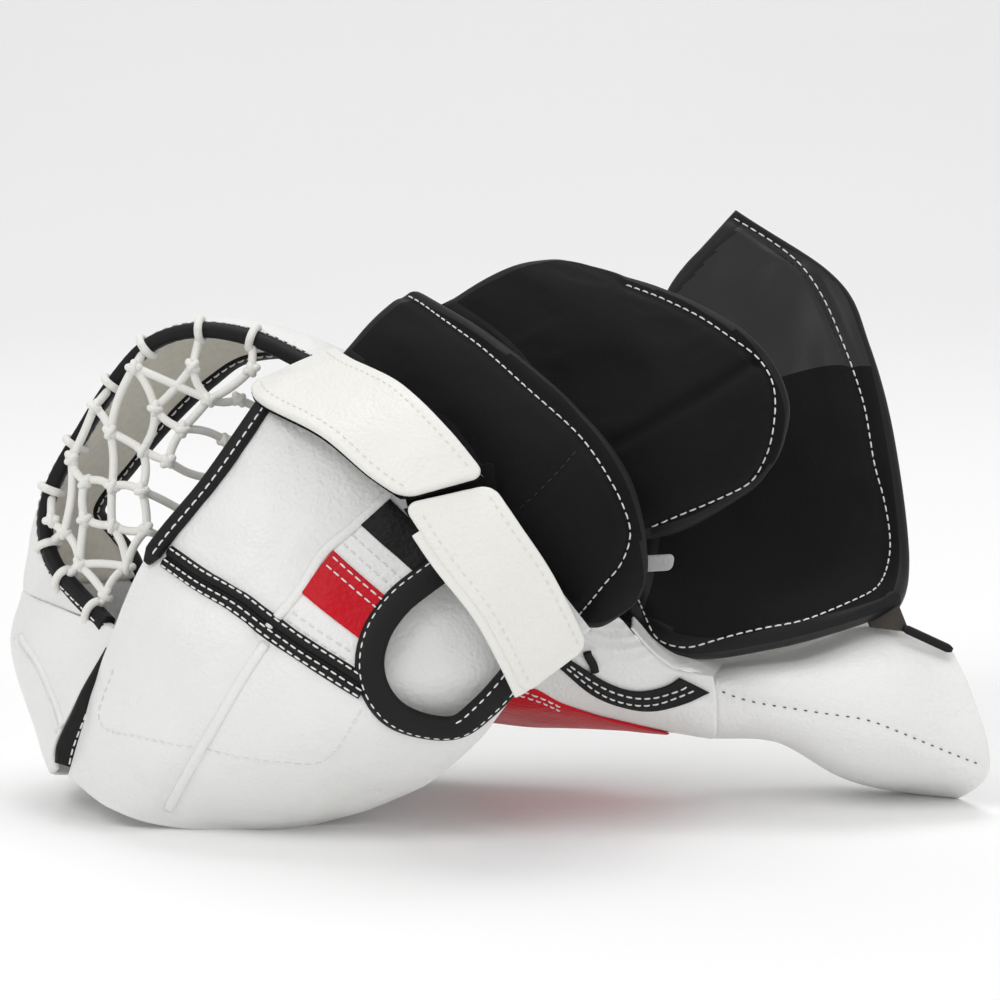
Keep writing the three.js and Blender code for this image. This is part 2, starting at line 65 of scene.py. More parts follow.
# Driving dimensions
LEATHER = 3.0
RIM_WALL = 5.0
BINDING_WIDTH = 8.5
BINDING_THICK = 6.5
STRAP = 4.0
HAND_PAD = 11.0
LINING = 12.0
PALM_BOARD = 8.0
CORD = 3.6
STITCH = 3.0
STITCH_GAP = 1.3
THREAD = 0.38
FINE_THREAD = 0.3
PAD_THREAD = 0.36
TAPERED_WIDTH = 3.0  # width that the pattern on a tapered cord or tape is laid out for
STALL_DEPTH = 8.0
ROLLED_EDGE = 6.0
LINING_SEAM_SHARE = 0.455  # of the lining's height, where slick cloth meets nylon
OPENING_ROLL = 12.0
OPENING_STITCH_OUT = 3.9
INNER_ROW_FROM = 0.72  # share of the way round the opening where its inner stitches begin
GUSSET_WALL = 2.0
PIPING_WIDTH = 3.8
GATHER = 4.6  # from one gather of the heel to the next
LACE_ROOM = 1.4  # from the rim's bound edge to the middle of the lacing
SURFACE = 0.1  # how far threads stand off the leather that they are sewn to

# How much each kind of padding gives, from 0 to 1
BOARD_FILL = 0.7
FOAM_FILL = 0.8
LOOSE_FILL = 0.6

# Pads blown up as cloth: grid step, held distance from edges and seams, most movement, air, frames
CLOTH_STEP = 5.0
HELD_EDGE = 5.0
HELD_SEAM = 3.5
MOST_SWELL = 3.0
AIR_PRESSURE = 4.0
SETTLED_AT = 20

# Scale at which each kind of pattern has cells, grains or bands of one unit
PATTERN_SCALE = {"Noise": 1.0, "Voronoi": 1.0, "Wave": pi / 20}
SLANTING = {"bands_direction": "DIAGONAL"}

# Colours
WHITE = "EFEFED"
WARM_WHITE = "EDECE7"
RED = "D00A20"
BLACK = "111012"
NYLON_BLACK = "19181A"
SMOOTH_BLACK = "29292B"
FELT_GREY = "EAE6DB"
TAB_GREY = "B5B5B5"
WEBBING_GREY = "5A5550"
THREAD_WHITE = "F2F2F0"
FLOOR_WHITE = "FDFDFD"

# Pocket rim: net edge, crest and mouth edge of each section, from the thumb to the fingertips
RIM = [
    [(-64, -20, 178), (-61, 8, 185), (-66, 36, 178)],
    [(-86, -10, 189), (-84, 12, 195), (-88, 38, 186)],
    [(-107, -4, 198), (-108, 17, 201), (-112, 42, 183)],
    [(-130, 0, 201), (-132, 22, 198), (-127, 46, 171)],
    [(-150, 2, 195), (-152, 26, 185), (-141, 49, 157)],
    [(-166, 4, 178), (-166, 28, 166), (-154, 51, 143)],
    [(-179, 4, 158), (-178, 29, 147), (-165, 52, 130)],
    [(-191, 3, 137), (-191, 28, 129), (-174, 54, 120)],
    [(-195, 0, 120), (-199, 26, 114), (-176, 58, 112)],
    [(-190, -8, 103), (-202, 24, 100), (-167, 62, 102)],
    [(-176, -24, 91), (-204, 20, 92), (-159, 65, 92)],
    [(-160, -44, 81), (-204, 14, 86), (-155, 66, 82)],
]

# Fingertip wall: wedge edge, crest and mouth edge, from the rim down to the floor
TIP_WALL = [
    [(-161, -45, 77), (-205, 13, 83), (-155, 66, 77)],
    [(-173, -44, 57), (-209, 12, 65), (-156, 66, 52)],
    [(-180, -42, 45), (-202, 10, 39), (-154, 62, 28)],
    [(-187, -40, 30), (-193, 2, 22), (-147, 58, 11)],
    [(-187, -37, 20), (-186, -6, 11), (-141, 54, -1)],
]
TIP_BINDING = [
    [(-165, -50, 74), (-161, -49, 76)],
    [(-175, -49, 57), (-168, -47, 58)],
    [(-181, -46, 45), (-173, -45, 44)],
    [(-187, -44, 32), (-178, -42, 31)],
    [(-188, -43, 24), (-181, -40, 21)],
]
FINGER_BACK = [
    [(-99, -50, 180), (-66, -62, 180), (-34, -76, 162), (0, -90, 136), (35, -94, 92)],
    [(-122, -60, 148), (-98, -80, 134), (-70, -92, 116), (-34, -104, 90), (6, -99, 67)],
    [(-149, -59, 114), (-121, -86, 102), (-96, -100, 89), (-54, -110, 67), (-10, -89, 44)],
    [(-167, -51, 72), (-144, -84, 61), (-119, -98, 47), (-78, -100, 34), (-30, -76, 23)],
    [(-184, -42, 18), (-164, -60, 8), (-136, -62, 0), (-89, -60, -1), (-55, -56, 6)],
]
SIDE_WALL = [
    [(-181, -34, 17), (-162, -52, 12), (-134, -56, 7), (-89, -54, 7), (-58, -48, 10)],
    [(-174, -4, 17), (-156, -6, 16), (-130, -8, 14), (-92, -8, 14), (-54, -8, 18)],
    [(-139, 42, 5), (-124, 40, 6), (-108, 37, 7), (-84, 32, 9), (-46, 23, 20)],
]
CATCHING_FACE = [
    [(-74, 36, 166), (-30, 42, 170), (14, 44, 174), (52, 48, 178)],
    [(-88, 20, 142), (-36, 18, 144), (12, 22, 146), (53, 34, 150)],
    [(-106, 14, 112), (-46, 6, 108), (8, 8, 108), (53, 18, 108)],
    [(-150, 48, 76), (-70, 20, 64), (-6, 12, 64), (52, 12, 70)],
    [(-137, 56, 6), (-84, 46, 12), (-26, 34, 28), (48, 26, 44)],
]
THUMB = [
    [(-58, 0, 172), (-58, 22, 182), (-60, 50, 178), (-66, 52, 158)],
    [(-24, -4, 176), (-22, 22, 188), (-22, 56, 184), (-22, 58, 162)],
    [(18, 6, 180), (20, 28, 190), (20, 60, 188), (18, 62, 166)],
    [(52, 36, 186), (54, 48, 194), (54, 66, 192), (52, 66, 170)],
]
BACK_HAND_PAD = [
    [(-71, -10, 191), (-57, -6, 207), (-39, 4, 221)],
    [(-47, -42, 178), (-26, -46, 193), (-4, -37, 205)],
    [(-22, -66, 166), (3, -76, 172), (29, -62, 181)],
    [(-2, -84, 136), (24, -92, 143), (52, -80, 153)],
    [(16, -84, 108), (39, -92, 110), (60, -82, 118)],
    [(28, -78, 88), (41, -82, 89), (56, -76, 99)],
]
HAND_GUSSET = [
    [(-62, 12, 188), (-30, 23, 207), (10, 43, 220), (50, 46, 213)],
    [(-60, 22, 186), (-28, 32, 200), (12, 48, 208), (52, 52, 206)],
    [(-58, 32, 184), (-26, 42, 192), (18, 51, 195), (53, 57, 200)],
]
WRIST_PAD = [
    [(-29, 26, 209), (3, 22, 227), (28, 30, 228)],
    [(0, -13, 192), (36, -16, 210), (69, -2, 220)],
    [(18, -38, 166), (62, -42, 186), (103, -27, 204)],
    [(31, -52, 141), (76, -56, 159), (119, -40, 177)],
    [(44, -56, 119), (76, -58, 126), (113, -46, 146)],
]
CUFF_LINING = [
    [(60, 52, 194), (70, 56, 212), (79, 60, 223), (88, 64, 232), (102, 70, 246)],
    [(62, 46, 186), (76, 48, 197), (96, 54, 207), (123, 60, 219), (146, 64, 217)],
    [(62, 42, 172), (83, 42, 177), (106, 46, 182), (135, 52, 190), (162, 60, 187)],
    [(63, 28, 141), (90, 28, 140), (117, 28, 142), (144, 32, 146), (170, 38, 152)],
    [(58, 4, 102), (86, 2, 97), (116, 4, 98), (147, 8, 103), (175, 14, 106)],
    [(52, -28, 87), (75, -38, 75), (111, -36, 79), (143, -27, 85), (169, -13, 90)],
]
CUFF_SHELL = [
    [(84, -8, 60), (121, -6, 65), (155, -2, 74), (190, -8, 68)],
    [(84, -34, 59), (121, -37, 62), (155, -38, 62), (197, -28, 53)],
    [(84, -39, 52), (119, -48, 50), (152, -52, 42), (204, -38, 28)],
    [(84, -31, 36), (119, -36, 32), (150, -34, 19), (203, -26, 11)],
    [(84, 4, 25), (116, 8, 23), (146, 6, 7), (190, 1, -2)],
    [(84, 22, 44), (116, 26, 42), (148, 26, 34), (187, 18, 32)],
    [(84, 22, 78), (116, 25, 80), (148, 27, 80), (172, 28, 74)],
]
PALM_HEEL = [
    [(31, -60, 92), (46, -57, 90), (58, -50, 76), (70, -44, 65), (88, -39, 61)],
    [(27, -58, 75), (44, -52, 62), (58, -47, 56), (70, -43, 56), (89, -42, 54)],
    [(15, -56, 66), (38, -51, 55), (54, -46, 49), (68, -42, 47), (89, -43, 47)],
    [(-5, -38, 49), (24, -28, 41), (49, -24, 37), (66, -25, 34), (89, -34, 33)],
    [(-24, 16, 30), (14, 10, 28), (42, 6, 28), (62, 6, 27), (89, 5, 24)],
]

# Leather that closes the catching face towards the fingertip wall and towards the wrist
TIP_GUSSET = [
    [(-158, 64, 79), (-152, 60, 77), (-144, 50, 75)],
    [(-156, 64, 50), (-150, 61, 46), (-143, 55, 42)],
    [(-145, 57, 8), (-141, 57, 6), (-135, 57, 5)],
]
WRIST_GUSSET = [
    [(50, 50, 177), (57, 56, 184), (68, 60, 190)],
    [(50, 36, 150), (58, 46, 156), (68, 56, 162)],
    [(50, 20, 108), (58, 30, 118), (68, 44, 128)],
    [(49, 14, 72), (56, 14, 84), (64, 14, 98)],
]
PALM_SEAMS = [[(-90, 140), (-36, 142), (12, 145), (53, 150)], [(-124, 88), (-56, 84), (0, 84), (52, 88)]]

# Leather that folds in from the heel's top edge, behind the lining
HEEL_FOLD = [
    [(52, -51, 83), (60, -47, 73), (70, -43, 64.5), (79, -40, 62), (96, -28, 52)],
    [(53, -34, 82), (61, -33, 74), (71, -32, 68), (80, -31, 65), (96, -24, 55)],
    [(54, -12, 84), (62, -12, 81), (72, -12, 77), (81, -12, 75), (96, -12, 57)],
]

HEEL_RED_LINE = [(-30, 73), (-14, 69), (15, 57), (23, 51), (41, 42), (70, 33)]

# Straps: front and back edge, from the thumb side down
UPPER_STRAP = [
    [(-105, -38, 181), (-70, -14, 193)],
    [(-99, -57, 177), (-62, -39, 192)],
    [(-74, -86, 169), (-41, -68, 186)],
    [(-54, -100, 155), (-22, -90, 172)],
    [(-40, -108, 147), (-7, -100, 155)],
]
LOWER_STRAP = [
    [(-41, -107, 145), (-5, -98, 151)],
    [(-26, -115, 124), (6, -107, 137)],
    [(-10, -119, 104), (17, -110, 121)],
    [(0, -115, 85), (26, -109, 104)],
    [(7, -109, 69), (33, -103, 88)],
]
HOOK_PAD = [
    [(-40, -99, 154), (-2, -89, 160)],
    [(-39, -100, 145), (-2, -90, 151)],
    [(-36, -102, 137), (0, -92, 143)],
]
# Black strip on the heel (its upper and lower line) and elastic loop, seen square on (x, z)
HEEL_STRIP = (
    [(27, 72), (41, 62), (52, 57), (61, 56.5), (68, 58), (73, 61)],
    [(22, 69), (37, 56), (51, 49.5), (63, 47.5), (76, 50), (86, 54)],
)
HEEL_LOOP = [(34, 75), (34.5, 73), (36.5, 70), (37.5, 66)]

# Trim on the cuff
PIPING_ENDS = [(169, -14, 76), (190, -16, 66.5)]
TAB = [[(57, -62, 116), (70, -63, 117)], [(56, -61, 109), (69, -62.5, 110)]]
WEBBING = [[(152, -10, 84), (166, -9, 89)], [(155, -13, 76), (172, -14, 74)]]

# Net knots, and the cords between them
NET_KNOTS = {
    "a1": (-156, -4, 186), "a2": (-173, -3, 169), "a3": (-183, -4, 147), "a4": (-192, -6, 121),
    "a5": (-186, -10, 117), "a6": (-131, -7, 187), "a7": (-106, -10, 186), "b1": (-147, -8, 169),
    "b2": (-166, -8, 159), "b3": (-124, -10, 173), "b4": (-135, -13, 161), "b5": (-152, -13, 152),
    "b6": (-141, -17, 148), "c1": (-152, -20, 136), "c2": (-165, -15, 137), "c3": (-177, -9, 138),
    "c4": (-177, -14, 123), "c5": (-165, -19, 121), "c6": (-150, -24, 120), "d1": (-179, -18, 104),
    "d2": (-158, -28, 105), "d3": (-167, -30, 93), "e1": (-112, -2, 172), "e2": (-118, 0, 154),
    "e3": (-124, -2, 138), "e4": (-132, -6, 122), "f1": (-87, 18, 158), "f2": (-96, 11, 144),
    "f3": (-104, 6, 130), "f4": (-115, 3, 116), "f5": (-128, 6, 101),
}
NET_CORDS = (
    "a1-b3 a1-b1 a1-b2 a2-b2 a2-a3 a3-c3 a3-a5 a4-a5 b1-a6 b1-b5 b1-b4 b2-b5 b2-c2 a6-b3 a7-b3 "
    "b3-b4 b3-e1 b4-e2 b4-b6 b5-b6 b5-c1 b6-e3 c1-e4 c1-c6 c2-c3 c2-c1 c2-c5 c3-c4 a5-d1 c4-c5 "
    "c4-d1 c5-d2 c5-c6 d1-d2 d1-d3 d2-d3 d2-c6 e1-f1 e2-f2 e3-f3 e4-f4 c6-f5 f1-f2 f2-f3 f3-f4 f4-f5"
).split()
# Where the net is laced round the rim's bound edge (x, z), and the knot that it goes to
LACES = [
    ((-153, 196), "a1"), ((-169, 180), "a2"), ((-185, 153), "a3"), ((-196, 133), "a4"),
    ((-128, 201), "a6"), ((-106, 197), "a7"), ((-196, 108), "a5"), ((-184, 98), "d1"),
    ((-171, 86), "d3"),
]

# Lines on the finger back, seen square on (x, z)
UPPER_SEAM = [(-44, 148), (-48, 144), (-60, 133), (-73, 122), (-83, 107), (-96, 92)]
LOWER_SEAM = [(-96, 87), (-106, 72), (-123, 42), (-139, 10)]
STRIP_LINE = [(-138, 116), (-125, 110), (-107, 102), (-92, 92), (-66, 77), (-56, 71)]
BLACK_STRIPE = [(-46, 143), (-58, 133), (-35, 115), (-24, 124)]
RED_STRIPE = [(-69, 123), (-82, 107), (-58, 90), (-46, 105)]
OPENING_LINE = [
    (-9, 127), (-20, 121), (-32, 113), (-43, 104), (-51, 93), (-54, 81), (-51, 69),
    (-43, 59), (-31, 53), (-19, 52), (-9, 60), (2, 72), (11, 84),
]
DOTTED_LINES = [
    [(-161, 69), (-168, 45), (-150, 44), (-128, 43), (-119, 42), (-90, 39), (-72, 40), (-57, 63)],
    [(-86, 100), (-61, 85)],
    [(-88, 97), (-63, 82)],
    [(-62, 129.5), (-40, 112)],
    [(-65.5, 126), (-43.5, 108.5)],
]
WALL_PIPING = [(-207, 70), (-206, 68), (-198, 61), (-191, 49), (-186, 38)]

# Stitched and folded lines of the pads, the lining and the cuff (x, z)
HAND_STITCH = [
    (-42, 216), (-38, 215), (-30, 211), (-10, 200), (11, 184), (26, 172), (34, 164), (41, 154), (47, 143),
    (51, 130), (47, 118), (40, 110), (30, 95),
]
WRIST_STITCH = [
    (51, 220), (65, 216), (82, 209), (95, 201), (104, 195), (110, 187), (112, 177), (110, 161), (106, 151),
    (101, 144), (87, 138), (74, 133), (60, 127),
]
WRIST_FOLD = [(104, 193), (87, 183), (66, 172), (45, 160)]
QUILTING = [(6, 140), (18, 152), (29, 163)]
LINING_STITCH = [
    (99, 242), (106, 238), (119, 230), (129, 222), (136, 213), (142, 202), (147, 190), (152, 177),
    (157, 160), (160, 139), (164, 124), (166, 108), (164, 98), (159, 92), (147, 88), (126, 82), (107, 79),
    (89, 75), (77, 72), (69, 73), (64, 75), (60, 82), (56, 90),
]
CUFF_SEAM = [(86, 56), (101, 51), (125, 48), (149, 45), (162, 40), (181, 31), (200, 22)]


# Points along a Catmull-Rom curve, or along many curves at once
def spline(points, t):
    p = np.asarray(points, float)
    p = np.concatenate([[2 * p[0] - p[1]], p, [2 * p[-1] - p[-2]]])
    place = np.clip(t, 0, 1) * (len(p) - 3)
    i = np.minimum(place.astype(int), len(p) - 4)
    w = (place - i).reshape(-1, *[1] * (p.ndim - 1))
    a, b, c, d = p[i], p[i + 1], p[i + 2], p[i + 3]
    return 0.5 * (2 * b + (c - a) * w + (2 * a - 5 * b + 4 * c - d) * w**2 + (3 * b - a - 3 * c + d) * w**3)


# Grid of points on the smooth surface through a table, at shares of its width and height
def surface_at(rows, u, v):
    along = np.stack([spline(row, u) for row in rows])
    return spline(along, v)


def unit(vectors):
    return vectors / np.maximum(np.linalg.norm(vectors, axis=-1, keepdims=True), 1e-9)


# Distances along a line of points, or along a grid's columns or rows
def lengths(points, axis=0):
    steps = np.linalg.norm(np.diff(points, axis=axis), axis=-1)
    return np.insert(np.cumsum(steps, axis=axis), 0, 0.0, axis=axis)


# Values of a line of points at given distances along it
def at_lengths(points, along, at):
    return np.stack([np.interp(at, along, values) for values in points.T], axis=-1)


# Values of a grid at fractions of its columns and rows
def between(grid, x, y):
    i = np.minimum(x.astype(int), grid.shape[1] - 2)
    j = np.minimum(y.astype(int), grid.shape[0] - 2)
    s, t = (x - i)[..., None], (y - j)[..., None]
    above = (1 - s) * grid[j, i] + s * grid[j, i + 1]
    below = (1 - s) * grid[j + 1, i] + s * grid[j + 1, i + 1]
    return (1 - t) * above + t * below


# Points at even steps along a smooth line
def resampled(points, step):
    fine = spline(points, np.linspace(0, 1, 40 * len(points)))
    along = lengths(fine)
    count = max(int(round(along[-1] / step)), 2)
    return at_lengths(fine, along, np.linspace(0, along[-1], count + 1))


# Distance of each point from a line, seen square on
def near(points, line):
    p = points[..., [0, 2]]
    a = np.array(line[:-1], float)
    step = np.array(line[1:], float) - a
    off = p[..., None, :] - a
    t = np.clip((off * step).sum(-1) / (step**2).sum(-1), 0, 1)
    return np.sqrt(((off - t[..., None] * step) ** 2).sum(-1)).min(-1)


# True for each point inside an outline, seen square on
def inside(points, outline):
    x, z = points[..., 0], points[..., 2]
    odd = np.zeros(x.shape, bool)
    for (ax, az), (bx, bz) in zip(outline, outline[1:] + outline[:1]):
        if az != bz:
            odd ^= ((az > z) != (bz > z)) & (x < (bx - ax) * (z - az) / (bz - az) + ax)
    return odd


# Groove of a given width and depth along a line
def groove(points, line, width, depth):
    return -depth * np.exp(-((near(points, line) / width) ** 2))


# Soft uneven swell of handled leather
def swell(points, size, height, seed=0.0):
    flat = points.reshape(-1, 3) / size + seed
    values = [noise.noise(Vector(p)) for p in flat]
    return height * np.array(values).reshape(points.shape[:-1])


# Leather or padding on a smooth surface, between a face and a back, with rounded edges
class Panel:
    def __init__(self, rows, face=0.0, back=-LEATHER, u=(0, 1), v=(0, 1), spacing=2.0, rounding=1.4,
                 corners=(0.0, 0.0), face_shape=None, back_shape=None, cut=None):
        sample = rows if callable(rows) else lambda a, b: surface_at(rows, a, b)
        coarse = sample(np.linspace(*u, 12), np.linspace(*v, 12))
        self.u = self.samples(u, lengths(coarse, 1)[:, -1].mean(), spacing, rounding)
        self.v = self.samples(v, lengths(coarse, 0)[-1].mean(), spacing, rounding)
        self.surface = sample(self.u, self.v)
        if max(corners) > 0:
            self.surface = self.cornered(*corners)
        along = np.gradient(self.surface, axis=1)
        self.normal = unit(np.cross(np.gradient(self.surface, axis=0), along))
        self.rise = self.rounded(rounding)
        middle = (face + back) / 2
        self.face = self.offset(middle, face, face_shape)
        self.back = self.offset(middle, back, back_shape)
        self.hole = None if cut is None else cut(self.surface)

    @staticmethod
    def samples(ends, length, spacing, rounding):
        lead = rounding * np.array([0.0, 0.03, 0.1, 0.22, 0.4, 0.66])
        inner = np.linspace(rounding, length - rounding, max(int(length / spacing), 2))
        at = np.concatenate([lead, inner, length - lead[::-1]])
        return ends[0] + (ends[1] - ends[0]) * at / length

    # The square rings round each corner drawn in to quarter circles, at the left and the right
    def cornered(self, left, right):
        across = lengths(self.surface, 1)
        radius = np.where(across < across[:, -1:] / 2, left, right)
        inside_by, ways = [], []
        for axis, run in ((1, across), (0, lengths(self.surface, 0))):
            whole = run.max(axis=axis, keepdims=True)
            inside_by.append(np.clip(radius - np.minimum(run, whole - run), 0, radius))
            inward = np.where(run < whole / 2, 1, -1)[..., None]
            ways.append(unit(np.gradient(self.surface, axis=axis)) * inward)
        a, b = inside_by
        pull = 1 - np.maximum(a, b) / np.maximum(np.hypot(a, b), 1e-9)
        pull = np.where((a > 0) & (b > 0), pull, 0)
        return self.surface + ways[0] * (a * pull)[..., None] + ways[1] * (b * pull)[..., None]

    # 0 at the border, 1 a rounding's width inside it, on a quarter circle
    def rounded(self, rounding):
        left, top = lengths(self.surface, 1), lengths(self.surface, 0)
        self.uv = np.stack([left, top], axis=-1)
        self.edge = np.minimum.reduce([left, left[:, -1:] - left, top, top[-1:] - top])
        inward = np.clip(self.edge / rounding, 0, 1)
        return np.sqrt(1 - (1 - inward) ** 2)

    def offset(self, middle, to, shape):
        height = to - middle
        if shape is not None:
            height = height + shape(self.surface, self.edge)
        points = self.surface + self.normal * (middle + height * self.rise)[..., None]
        points[..., 2] = np.maximum(points[..., 2], 0.0)
        return points

    # Columns and rows of the grid at shares of the width and the height
    def cell(self, u, v):
        x = np.interp(u, self.u, np.arange(len(self.u)))
        return x, np.interp(v, self.v, np.arange(len(self.v)))

    # Places on the face at shares of the width and the height, with the way out of it
    def at(self, u, v, lift=SURFACE):
        x, y = self.cell(*np.broadcast_arrays(u, v))
        out = unit(between(self.normal, x, y))
        return between(self.face, x, y) + out * lift, out

    # Closed body, open where the panel is cut: points, faces, surface map and each face's finish
    def made(self, face_finish=0, back_finish=0, zones=None):
        nv, nu = self.face.shape[:2]
        points = np.concatenate([self.face.reshape(-1, 3), self.back.reshape(-1, 3)])
        front = np.arange(nv * nu).reshape(nv, nu)
        rear = front.copy()
        rear[1:-1, 1:-1] += nv * nu
        uv = np.tile(self.uv.reshape(-1, 2), (2, 1)) * MM
        found = []
        zone = np.full((nv, nu), face_finish) if zones is None else zones(self)
        open_at = np.zeros((nv - 1, nu - 1), bool)
        if self.hole is not None:
            open_at = self.hole[:-1, :-1] & self.hole[1:, :-1] & self.hole[:-1, 1:] & self.hole[1:, 1:]
        for j in range(nv - 1):
            for i in range(nu - 1):
                if open_at[j, i]:
                    continue
                loop = [(j, i), (j, i + 1), (j + 1, i + 1), (j + 1, i)]
                found.append(([front[c] for c in loop], zone[j, i]))
                found.append(([rear[c] for c in reversed(loop)], back_finish))
                beside = [(j - 1, i), (j, i + 1), (j + 1, i), (j, i - 1)]
                for k, (y, x) in enumerate(beside):
                    if 0 <= y < nv - 1 and 0 <= x < nu - 1 and open_at[y, x]:
                        a, b = loop[k], loop[(k + 1) % 4]
                        found.append(([front[b], front[a], rear[a], rear[b]], face_finish))
        faces = [[int(c) for c in corners] for corners, _ in found]
        return points, faces, uv, [int(which) for _, which in found]


# Band or tube along a line: its width lies across the surface, its height stands off it
def sweep(points, normals, width, height, closed=False, sides=12, squareness=2.0):
    normals = np.broadcast_to(normals, points.shape)
    if closed:
        tangent = unit(np.roll(points, -1, axis=0) - np.roll(points, 1, axis=0))
    else:
        tangent = unit(np.gradient(points, axis=0))
    across = unit(np.cross(tangent, normals))
    up = np.cross(across, tangent)
    angle = 2 * pi * (np.arange(sides) + 0.5) / sides - pi / 2
    x = np.sign(np.cos(angle)) * np.abs(np.cos(angle)) ** (2 / squareness)
    y = np.sign(np.sin(angle)) * np.abs(np.sin(angle)) ** (2 / squareness)
    wide = np.broadcast_to(width, len(points))[:, None, None]
    high = np.broadcast_to(height, len(points))[:, None, None]
    ring = across[:, None] * x[None, :, None] * wide / 2 + up[:, None] * y[None, :, None] * high / 2
    body = (points[:, None] + ring).reshape(-1, 3)
    body[:, 2] = np.maximum(body[:, 2], 0.0)
    n = len(points)
    girth = pi * (width if np.isscalar(width) else TAPERED_WIDTH)
    uv = np.meshgrid(lengths(points), girth * np.arange(sides) / sides, indexing="ij")
    uv = np.stack(uv, axis=-1).reshape(-1, 2) * MM
    faces = []
    for i in range(n if closed else n - 1):
        for k in range(sides):
            a, b = i * sides, (i + 1) % n * sides
            faces.append([a + k, b + k, b + (k + 1) % sides, a + (k + 1) % sides])
    if not closed:
        faces.append(list(range(sides)))
        faces.append([(n - 1) * sides + k for k in reversed(range(sides))])
    return body, faces, uv, [0] * len(faces)


# Several bodies as one
def joined(parts):
    points, faces, uv, finishes, start = [], [], [], [], 0
    for p, f, t, m in parts:
        points.append(p)
        uv.append(t)
        faces += [[start + k for k in face] for face in f]
        finishes += m
        start += len(p)
    return np.concatenate(points), faces, np.concatenate(uv), finishes


# One stitch: a short bead of thread, sunk in at its ends
def stitch(start, end, out, radius):
    middle, along = (start + end) / 2, end - start
    t = np.array([-0.5, -0.42, -0.2, 0.2, 0.42, 0.5])
    lift = np.array([-0.8, 0.0, 0.55, 0.55, 0.0, -0.8]) * radius
    size = np.array([0.5, 0.9, 1.0, 1.0, 0.9, 0.5]) * 2 * radius
    points = middle + t[:, None] * along + lift[:, None] * out
    return sweep(points, out, size, size, sides=6)


# Stitches along a line of places on a surface
def stitched(points, normals, radius=THREAD, length=STITCH, gap=STITCH_GAP):
    along = lengths(points)
    count = max(int((along[-1] + gap) / (length + gap)), 1)
    step = along[-1] / count
    made = []
    for k in range(count):
        ends = np.array([k * step + gap / 2, (k + 1) * step - gap / 2])
        out = unit(at_lengths(normals, along, ends.mean()))
        made.append(stitch(*at_lengths(points, along, ends), out, radius))
    return made


# Line of values with its small jumps evened out
def eased(values, reach):
    blur = np.ones(2 * reach + 1) / (2 * reach + 1)
    sides = np.pad(values, ((reach, reach), (0, 0)), mode="reflect", reflect_type="odd")
    return np.stack([np.convolve(sides[:, c], blur, mode="valid") for c in range(3)], axis=1)


# Panels seen from the back of the hand, onto which lines and patches are laid
class Front:
    def __init__(self, *panels):
        self.trees = []
        for panel in panels:
            points, faces, _, _ = panel.made()
            self.trees.append(BVHTree.FromPolygons([tuple(p) for p in points], faces))

    # Foremost place at x and z with the way out of the surface there, or nothing where it is missed
    def cast(self, x, z):
        hits = [tree.ray_cast(Vector((x, -400.0, z)), Vector((0, 1, 0))) for tree in self.trees]
        hits = [(hit[3], hit[0], hit[1]) for hit in hits if hit[0] is not None]
        if not hits:
            return None
        _, place, out = min(hits, key=lambda hit: hit[0])
        return np.array(place), np.array(out if out.y < 0 else -out)

    def place(self, flat):
        return np.array([[self.cast(x, z)[0] for x, z in row] for row in flat])

    # Smooth row of places under a line, with the ways out of the surface there
    def drop(self, line, lift=SURFACE, step=1.5):
        found = [hit for x, z in resampled(line, step) if (hit := self.cast(x, z))]
        places = np.array([place for place, _ in found])
        normals = np.array([out for _, out in found])
        places, normals = eased(places, 2), unit(eased(normals, 4))
        return places + normals * lift, normals


# Line on a smooth surface, at paired shares of its width and height
def line_on(rows, u, v, lift=0.0):
    u, v = np.broadcast_arrays(u, v)

    def places(a, b):
        return np.array([surface_at(rows, np.array([s]), np.array([t]))[0, 0] for s, t in zip(a, b)])

    e = 1e-3
    a, b = np.clip(u, e, 1 - e), np.clip(v, e, 1 - e)
    out = unit(np.cross(places(a, b + e) - places(a, b - e), places(a + e, b) - places(a - e, b)))
    return places(u, v) + out * lift, out


# Patch between two lines that are seen square on, laid on the panels in front
def patch_on(front, high, low, face, back=0.2, spacing=1.4, rounding=0.8):
    def sample(u, v):
        top, bottom = spline(high, u), spline(low, u)
        flat = (1 - v[:, None, None]) * top + v[:, None, None] * bottom
        return front.place(flat)

    return Panel(sample, face, back, spacing=spacing, rounding=rounding)


# sRGB hex code as a linear colour
def colour(code, shade=1.0):
    parts = [int(code[k : k + 2], 16) / 255 for k in (0, 2, 4)]
    linear = [c / 12.92 if c <= 0.04045 else ((c + 0.055) / 1.055) ** 2.4 for c in parts]
    return (*[c * shade for c in linear], 1.0)


